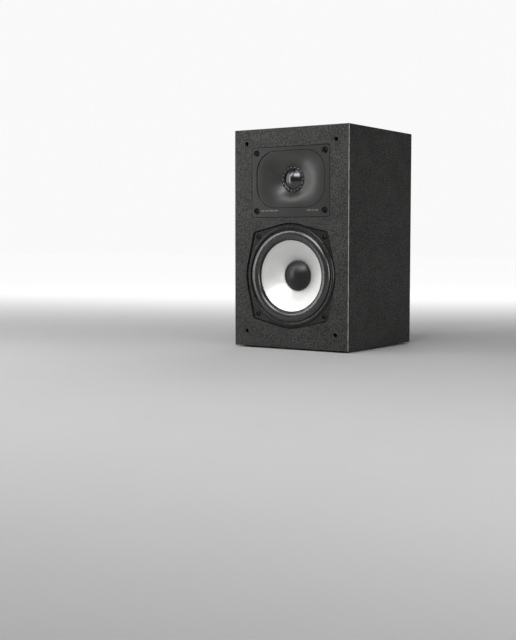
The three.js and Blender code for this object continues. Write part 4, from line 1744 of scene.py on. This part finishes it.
@dataclass
class ReflexPort:
    """The flared reflex tube with a flange on the rear board."""

    shop: Workshop
    bore: float = 19.0
    wall: float = 2.5
    flare: float = 25.0
    flange: float = 33.0
    flare_length: float = 8.0

    def build(self) -> None:
        """Turns the tube, its flared mouth and its flange as one piece."""
        place = NodeBox.of("port_tube")
        inner_end, face = place.low[1], place.high[1]
        mouth = []
        for k in range(17):
            angle = math.pi / 2 * (1 - k / 16)
            radius = self.flare - (self.flare - self.bore) * math.sin(angle)
            mouth.append((radius, face - self.flare_length * (1 - math.cos(angle))))
        outer = self.bore + self.wall
        line = [(self.bore, inner_end + 0.8), *mouth]
        line += filleted(
            [
                (self.flare + 0.1, face),
                (self.flange - 0.6, face, 0.5),
                (self.flange, BACK + 0.1, 0.1),
                (self.flare + self.wall, BACK + 0.1, 0.1),
                (self.flare + self.wall, BACK - 5, 1.5),
                (outer, BACK - 10, 2.0),
                (outer, inner_end, 0.6),
                (self.bore + 0.8, inner_end),
            ]
        )
        tube = turn("flared_port", line, 0, PORT_Z, 128)
        self.shop.fit(tube, Finish.BLACK_ABS, "black_plastic", ["port_tube"])


@dataclass
class TerminalCup:
    """The recessed cup with its screws, marks, and two screw-down posts."""

    shop: Workshop
    recess_width: float = 62.0
    recess_height: float = 46.0
    wall: float = 2.0
    screw_x: float = 35.5
    screw_z: float = 27.5
    stud: float = 3.0
    pitch: float = 0.7
    collar: float = 6.0
    insert: float = 4.4
    cap: float = 6.6
    ribs: int = 28

    @staticmethod
    def shell_outline(grow: float) -> list[Point]:
        """The outside of the cup's walls, grown by so many millimetres."""
        return rounded_rectangle(0, CUP_Z, 66 + 2 * grow, 50 + 2 * grow, 5 + grow)

    def cup(self) -> None:
        """The flange and the recess, with holes for studs and screws."""
        place = NodeBox.of("terminal_cup")
        face, back = place.high[1], place.low[1]
        floor = back + self.wall
        cup = prism("recessed_cup", node_outline(place, 6), BACK + 0.1, face)
        combine(cup, [prism("shell", self.shell_outline(0), back, BACK + 0.5)], "UNION")
        recess = rounded_rectangle(0, CUP_Z, self.recess_width, self.recess_height, 4)
        cuts = [prism("recess", recess, floor, face + 1)]
        for x in (NodeBox.of("terminal_stud_black").middle(0), NodeBox.of("terminal_stud_red").middle(0)):
            cuts.append(prism("stud_hole", circle(x, CUP_Z, self.stud + 0.3, 32), back - 1, floor + 1))
        sink = [
            (0, face + 0.5),
            (3.3, face + 0.5),
            (3.3, face - 0.35),
            (1.7, BACK - 0.2),
            (0, BACK - 0.2),
        ]
        for x in (-self.screw_x, self.screw_x):
            for z in (CUP_Z - self.screw_z, CUP_Z + self.screw_z):
                cuts.append(turn("sink", sink, x, z, 40, closed=False))
        combine(cup, cuts, "DIFFERENCE")
        soften(cup, 0.4, 3, 50)
        self.shop.fit(cup, Finish.BLACK_ABS, "black_plastic", ["terminal_cup"])

    def cup_screws(self) -> None:
        """Four countersunk screws with crossed slots, flush with the flange."""
        line = filleted([(0, 0.25), (2.9, 0.25, 0.15), (3.0, 0.55), (1.5, 1.55), (1.3, 12.0), (0, 14.0)])
        screw = turn("cup_screw", line, 0, 0, 40, closed=False)
        across = prism("slot", rounded_rectangle(0, 0, 3.2, 0.7, 0.2, 2), -1, 1.1)
        upright = prism("slot", rounded_rectangle(0, 0, 0.7, 3.2, 0.2, 2), -1, 1.1)
        combine(screw, [across, upright], "DIFFERENCE")
        screw.data.transform(Matrix.Rotation(math.pi, 4, "Z"))
        screws = self.shop.corners.lay(
            "cup_screws",
            screw,
            Finish.BLACK_OXIDE,
            Width=2 * self.screw_x * MM,
            Height=2 * self.screw_z * MM,
            Turn=(math.pi / 2, 0.0, 0.0),
            Centre=(0.0, REAR_FACE * MM, CUP_Z * MM),
        )
        self.shop.fit(screws, Finish.BLACK_OXIDE, "black_screw")

    def marks(self) -> None:
        """A raised plus below the red post and a raised minus below the black one."""
        floor = NodeBox.of("terminal_cup").low[1] + self.wall
        z, near, far = CUP_Z - 15.5, floor - 0.2, floor + 0.5
        red, black = NodeBox.of("terminal_stud_red").middle(0), NodeBox.of("terminal_stud_black").middle(0)
        plus = prism("polarity_marks", rounded_rectangle(red, z, 5.0, 1.2, 0.3, 2), near, far)
        others = [
            prism("upright", rounded_rectangle(red, z, 1.2, 5.0, 0.3, 2), near, far),
            prism("minus", rounded_rectangle(black, z, 5.0, 1.2, 0.3, 2), near, far),
        ]
        combine(plus, others, "UNION")
        soften(plus, 0.15, 2, 50)
        self.shop.fit(plus, Finish.INK, "black_plastic")

    def post(self, name: str, finish: Finish, slot: str) -> None:
        """One post: threaded stud with its collar, gold insert and ribbed cap.

        Args:
            name: "red" or "black".
            finish: The cap's finish.
            slot: The cap's slot.
        """
        place = NodeBox.of(f"terminal_stud_{name}")
        x, tail, tip = place.middle(0), place.low[1], place.high[1]
        seat = NodeBox.of("terminal_cup").low[1] + self.wall + 0.3
        top = seat + 3.0
        line = [(0.0, tail), (self.stud - 0.6, tail), (self.stud, tail + 0.8), (self.stud, seat - 0.02)]
        line += [(self.collar - 0.4, seat), (self.collar, seat + 0.4), (self.collar, top - 0.5)]
        line += [(self.collar - 0.5, top), (self.stud - 0.3, top)]
        y = top + 0.3
        while y < tip - 1.0:
            line += [(self.stud - 0.32, y), (self.stud - 0.02, y + self.pitch / 2)]
            y += self.pitch
        line += [(self.stud - 0.4, tip - 0.3), (2.5, tip)]
        line += [(2.05, tip - 0.3), (2.05, tip - 13.0), (0.0, tip - 13.6)]
        stud = turn(f"stud_{name}", line, x, CUP_Z, 48, closed=False, crease=25)
        bore = turn("cross_hole", [(0, -8), (1.5, -8), (1.5, 8), (0, 8)], 0, 0, 24, closed=False)
        bore.data.transform(Matrix.Rotation(math.pi / 2, 4, "X"))
        bore.data.transform(Matrix.Translation((x * MM, (top - 1.5) * MM, CUP_Z * MM)))
        combine(stud, [bore], "DIFFERENCE")
        stud.data.shade_smooth()
        stud.data.set_sharp_from_angle(angle=math.radians(35))
        self.shop.fit(stud, Finish.GOLD, "gold_plate", [f"terminal_stud_{name}"])

        cap = NodeBox.of(f"terminal_insert_{name}")
        near, far = cap.low[1], cap.high[1]
        inner = self.stud + 0.3
        ring = filleted(
            [(inner, near), (self.insert, near, 0.2), (self.insert, far, 0.3), (inner, far, 0.4)], closed=True
        )
        insert = turn(f"insert_{name}", ring, x, CUP_Z, 64)
        self.shop.fit(insert, Finish.GOLD, "gold_plate", [f"terminal_insert_{name}"], f"{name}_insert")

        hole = self.insert + 0.2
        barrel = filleted(
            [
                (hole, near),
                (self.cap - 0.7, near, 0.4),
                (self.cap - 0.35, near + 0.9, 0.2),
                (self.cap - 0.35, far - 2.2, 0.2),
                (self.cap - 1.1, far - 1.9, 0.3),
                (self.cap - 1.3, far, 0.7),
                (hole, far, 0.3),
            ],
            closed=True,
        )
        body = turn(f"cap_{name}", barrel, x, CUP_Z, 84)
        self.shop.fit(body, finish, slot, [f"terminal_cap_{name}"], f"{name}_cap")
        rib = prism("rib", rounded_rectangle(0, 0, 0.8, 0.62, 0.2, 3), 0, far - near - 3.6)
        soften(rib, 0.12, 2, 50)
        ribs = self.shop.rings.lay(
            f"cap_ribs_{name}",
            rib,
            finish,
            Count=self.ribs,
            Radius=(self.cap - 0.3) * MM,
            Centre=(x * MM, (near + 1.1) * MM, CUP_Z * MM),
        )
        self.shop.fit(ribs, finish, slot, body=f"{name}_cap")

    def build(self) -> None:
        """Builds every piece of the cup."""
        self.cup()
        self.cup_screws()
        self.marks()
        self.post("red", Finish.RED_CAP, "red_plastic")
        self.post("black", Finish.BLACK_CAP, "black_plastic")


# --------------------------------------------------------------------------------------------------
# Inside


@dataclass(frozen=True)
class TurnedPart:
    """A rotational inner part: its name, CAD node, finish, slot, axis height, profile and body."""

    name: str
    node: str
    finish: Finish
    slot: str
    z: float
    line: Profile
    body: str = "root"
    closed: bool = True


@dataclass
class Inside:
    """Motors, coils, crossover and wires."""

    shop: Workshop

    @staticmethod
    def ring(near: float, far: float, inner: float, outer: float, fillet: float) -> Profile:
        """The (radius, depth, fillet) corners of a plain ring."""
        corners = ((inner, near), (outer, near), (outer, far), (inner, far))
        return tuple((*corner, fillet) for corner in corners)

    @staticmethod
    def yoke(front: float, base: float, back: float, pole: float, plate: float) -> Profile:
        """The corners of a back plate with its pole, from the pole's tip to the plate's back.

        Args:
            front: Depth of the pole's tip.
            base: Depth of the plate's front.
            back: Depth of the plate's back.
            pole: The pole's radius.
            plate: The plate's radius.

        Returns:
            The (radius, depth, fillet) corners.
        """
        return (
            (0, front),
            (pole, front, 0.6),
            (pole, base, 0.8),
            (plate, base, 0.8),
            (plate - 1, back, 0.8),
            (0, back),
        )

    def turned(self) -> list[TurnedPart]:
        """The rotational parts of both motors.

        Returns:
            The parts, the woofer's first.
        """
        steel, stone = (Finish.ZINC, "zinc_steel"), (Finish.FERRITE, "ferrite")
        wire, foam = (Finish.COPPER, "copper"), (Finish.FOAM, "gasket_foam")
        low, high, ring, yoke = WOOFER_Z, TWEETER_Z, self.ring, self.yoke
        cone, dome = "woofer_diaphragm", "tweeter_diaphragm"
        return [
            TurnedPart("front_pole_plate", "woofer_top_plate", *steel, low, ring(38, 43, 14, 42, 0.8)),
            TurnedPart("ring_magnet", "woofer_magnet", *stone, low, ring(43.3, 58.3, 20, 45, 1.0)),
            TurnedPart("back_yoke", "woofer_yoke", *steel, low, yoke(38, 58.6, 63.6, 12.1, 41), closed=False),
            TurnedPart("coil_former", "woofer_coil_former", *wire, low, ring(24, 42, 12.5, 12.9, 0.1), cone),
            TurnedPart("coil_winding", "woofer_coil_winding", *wire, low, ring(33, 41, 13.0, 13.6, 0.2), cone),
            TurnedPart("small_pole_plate", "tweeter_top_plate", *steel, high, ring(9, 13, 13.1, 30, 0.6)),
            TurnedPart("small_magnet", "tweeter_magnet", *stone, high, ring(13.3, 25.3, 17, 33, 0.8)),
            TurnedPart(
                "small_yoke", "tweeter_yoke", *steel, high, yoke(9.3, 25.6, 29.6, 11.5, 29), closed=False
            ),
            TurnedPart("small_coil", "tweeter_voice_coil", *wire, high, ring(8.7, 12.6, 12, 12.6, 0.2), dome),
            TurnedPart("woofer_seal", "woofer_gasket", *foam, low, ring(5.5, 6.2, 58.6, 63, 0.2)),
        ]

    def build(self) -> None:
        """Builds the rotational parts and dresses the plain ones."""
        for part in self.turned():
            piece = turn(part.name, filleted(at_depth(part.line), part.closed), 0, part.z, 96, part.closed)
            self.shop.fit(piece, part.finish, part.slot, [part.node], part.body)
        plain = {
            "tweeter_gasket": (Finish.FOAM, "gasket_foam"),
            "woofer_terminal_strip": (Finish.LAMINATE, "laminate"),
            "crossover_board": (Finish.LAMINATE, "laminate"),
        }
        for node, (finish, slot) in plain.items():
            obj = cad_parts[node]
            obj.data.materials.clear()
            obj.data.materials.append(finish.material())
            LOG.info("%s: %s", node, finish.value.name)
        self.components()
        self.wires()

    def components(self) -> None:
        """Air-core coil, film capacitor and cement resistor."""
        coil = NodeBox.of("crossover_inductor")
        outer, height = coil.size(0) / 2, coil.size(2)
        line = [(8.0, 0.0)]
        layers = 9
        for k in range(layers):
            y = height * k / layers
            line += [(outer - 0.5, y), (outer, y + height / layers / 2)]
        line += [(outer - 0.5, height), (8.0, height)]
        winding = turn("air_core_coil", line, 0, 0, 96, crease=80)
        winding.data.transform(Matrix.Rotation(math.pi / 2, 4, "X"))
        winding.data.transform(
            Matrix.Translation((coil.middle(0) * MM, coil.middle(1) * MM, coil.low[2] * MM))
        )
        self.shop.fit(winding, Finish.COPPER, "copper", ["crossover_inductor"])

        can = NodeBox.of("crossover_capacitor")
        radius, length = can.size(2) / 2, can.size(0)
        line = filleted(
            [
                (0, 0.6),
                (radius - 1.2, 0.6, 0.4),
                (radius, 0, 0.8),
                (radius, length, 0.8),
                (radius - 1.2, length - 0.6, 0.4),
                (0, length - 0.6),
            ]
        )
        sleeve = turn("film_capacitor", line, 0, 0, 64, closed=False)
        sleeve.data.transform(Matrix.Rotation(-math.pi / 2, 4, "Z"))
        sleeve.data.transform(Matrix.Translation((can.low[0] * MM, can.middle(1) * MM, can.middle(2) * MM)))
        self.shop.fit(sleeve, Finish.FILM, "film", ["crossover_capacitor"])

        block = NodeBox.of("crossover_resistor")
        body = prism("cement_resistor", node_outline(block, 0.8, 3), block.low[1], block.high[1])
        soften(body, 0.5, 3, 50)
        self.shop.fit(body, Finish.CEMENT, "ceramic_block", ["crossover_resistor"])

    def wires(self) -> None:
        """The insulated wires from the crossover to each driver."""
        start = NodeBox.of("crossover_board").high[2] + 1.7
        woofer = [
            (44, 40, start),
            (56, 25, start + 8),
            (61, -5, WOOFER_Z - 34),
            (60, FRONT + 50, WOOFER_Z - 6),
            (57, FRONT + 32, WOOFER_Z + 14),
            (50, FRONT + 20, WOOFER_Z + 16),
            (44, FRONT + 18.5, WOOFER_Z + 9),
        ]
        tweeter = [
            (-44, 40, start),
            (-57, 34, start + 14),
            (-62, 12, WOOFER_Z),
            (-62, FRONT + 60, WOOFER_Z + 55),
            (-52, FRONT + 42, TWEETER_Z - 18),
            (-42, FRONT + 24, TWEETER_Z - 4),
            (-40, FRONT + 15, TWEETER_Z - 1),
            (-35, FRONT + 10.5, TWEETER_Z),
        ]
        thick = 1.3
        lower, upper = strand("woofer_lead", woofer, thick), strand("tweeter_lead", tweeter, thick)
        self.shop.fit(lower, Finish.BLACK_CAP, "black_plastic", ["woofer_wire"])
        self.shop.fit(upper, Finish.RED_CAP, "red_plastic", ["tweeter_wire"])


# --------------------------------------------------------------------------------------------------
# Studio


@dataclass(frozen=True)
class SoftBox:
    """A rectangular light that faces a target from a direction, in metres and watts."""

    name: str
    direction: tuple[float, float, float]
    distance: float
    width: float
    height: float
    power: float
    target: tuple[float, float, float] = (0.0, 0.0, 0.14)


@dataclass
class Studio:
    """Pale floor, a lit paper backdrop, soft boxes and the camera, in metres.

    backdrop_edges holds the paper's left, right, depth, lower and upper edge.
    """

    surroundings: float = 0.12
    floor_reach: float = 8.0
    backdrop_edges: tuple[float, float, float, float, float] = (-9.0, 2.2, 7.5, -0.5, 8.0)
    boxes: tuple[SoftBox, ...] = (
        SoftBox("main", (0.06, -0.82, 0.57), 1.15, 0.75, 0.4, 6.8),
        SoftBox("high_left", (-0.5, -0.66, 0.56), 1.3, 0.35, 0.35, 1.6),
        SoftBox("overhead", (0.1, -0.45, 0.9), 1.3, 0.8, 0.5, 2.5),
        SoftBox("left_strip", (-0.72, -0.69, 0.12), 0.75, 0.1, 0.7, 1.4),
        SoftBox("left_panel", (-0.95, -0.3, 0.1), 1.1, 0.6, 1.1, 3.2),
        SoftBox("right_panel", (0.86, -0.5, 0.1), 1.2, 0.5, 0.8, 6.3),
        SoftBox("rear_fill", (-0.2, 0.75, 0.65), 1.5, 0.8, 0.6, 5.0),
    )

    @staticmethod
    def sheet(
        name: str, corners: Sequence[Sequence[float]], material: bpy.types.Material
    ) -> bpy.types.Object:
        """One flat four-cornered sheet of the staging.

        Args:
            name: The object's name.
            corners: Its four corners in metres.
            material: Its material.

        Returns:
            The staged object.
        """
        mesh = bpy.data.meshes.new(name)
        mesh.from_pydata(corners, [], [(0, 1, 2, 3)])
        mesh.materials.append(material)
        obj = bpy.data.objects.new(name, mesh)
        bpy.context.scene.collection.objects.link(obj)
        return obj

    def floor(self) -> None:
        """A wide pale floor with a faint mottling, not part of the speaker."""
        reach = self.floor_reach
        paint = Moulding("matt_floor_paint", "#b8b8b8", "#bababa", 0.95, patch=400.0, grain=60.0, relief=0.0)
        material = paint.build()
        self.light_far_floor(material)
        corners = [(-reach, -reach, 0), (reach, -reach, 0), (reach, reach, 0), (-reach, reach, 0)]
        self.sheet("floor", corners, material)

    def light_far_floor(self, material: bpy.types.Material) -> None:
        """Lets the floor glow more and more towards the backdrop, so that the two meet without a line.

        Args:
            material: The floor's material, whose shader gets the glow.
        """
        tree = material.node_tree
        shader = next(node for node in tree.nodes if node.type == "BSDF_PRINCIPLED")
        place = add_node(tree, "ShaderNodeTexCoord").outputs["Object"]
        away = add_node(
            tree, "ShaderNodeVectorMath", {"operation": "DOT_PRODUCT"}, {0: place, 1: (-0.5, 0.86, 0.0)}
        )
        fade = add_node(
            tree,
            "ShaderNodeMapRange",
            {"interpolation_type": "SMOOTHSTEP"},
            {"Value": away.outputs["Value"], "From Min": 0.0, "From Max": 1.5, "To Min": 0.0, "To Max": 0.9},
        )
        shader.inputs["Emission Color"].default_value = linear("#ffffff")
        tree.links.new(fade.outputs[0], shader.inputs["Emission Strength"])

    def backdrop(self) -> None:
        """White paper far behind the speaker that glows but lights nothing, not part of the speaker."""
        material = bpy.data.materials.new("lit_paper")
        material.use_nodes = True
        material.node_tree.nodes.clear()
        glow = add_node(
            material.node_tree, "ShaderNodeEmission", inputs={"Color": linear("#ffffff"), "Strength": 0.95}
        )
        add_node(material.node_tree, "ShaderNodeOutputMaterial", inputs={"Surface": glow.outputs[0]})
        left, right, y, low, high = self.backdrop_edges
        corners = [(left, y, low), (right, y, low), (right, y, high), (left, y, high)]
        paper = self.sheet("backdrop", corners, material)
        paper.visible_diffuse = False
        paper.visible_glossy = False

    def world(self) -> None:
        """Dim even surroundings."""
        world = bpy.data.worlds.new("surroundings")
        bpy.context.scene.world = world
        world.use_nodes = True
        world.node_tree.nodes.clear()
        glow = add_node(
            world.node_tree,
            "ShaderNodeBackground",
            inputs={"Color": linear("#ffffff"), "Strength": self.surroundings},
        )
        add_node(world.node_tree, "ShaderNodeOutputWorld", inputs={"Surface": glow.outputs[0]})

    def lights(self) -> None:
        """The soft boxes, each turned to its target."""
        for box in self.boxes:
            light = bpy.data.lights.new(box.name, "AREA")
            light.shape = "RECTANGLE"
            light.size, light.size_y = box.width, box.height
            light.energy = box.power
            obj = bpy.data.objects.new(box.name, light)
            bpy.context.scene.collection.objects.link(obj)
            direction = Vector(box.direction).normalized()
            obj.location = Vector(box.target) + direction * box.distance
            obj.rotation_euler = direction.to_track_quat("Z", "Y").to_euler()

    def camera(self) -> None:
        """The camera, a little right of and above the speaker's front."""
        data = bpy.data.cameras.new("camera")
        data.sensor_fit = "VERTICAL"
        data.sensor_height = 36.0
        data.lens = 61.59
        obj = bpy.data.objects.new("camera", data)
        obj.location = (0.7336, -1.2266, 0.1344)
        obj.rotation_euler = Euler((math.radians(85.91), 0.0, math.radians(34.33)))
        bpy.context.scene.collection.objects.link(obj)
        bpy.context.scene.camera = obj

    def build(self) -> None:
        """Sets up the whole studio."""
        bpy.context.scene.view_settings.view_transform = "Standard"
        self.floor()
        self.backdrop()
        self.world()
        self.lights()
        self.camera()


def main() -> None:
    """Builds the speaker piece by piece, then the studio."""
    logging.basicConfig(level=logging.INFO, format="%(name)s %(message)s")
    shop = Workshop(CornerPattern(), RingPattern())
    for part in (Cabinet, Woofer, HornTweeter, ReflexPort, TerminalCup, Inside):
        part(shop).build()
    Studio().build()


if __name__ == "__main__":
    main()
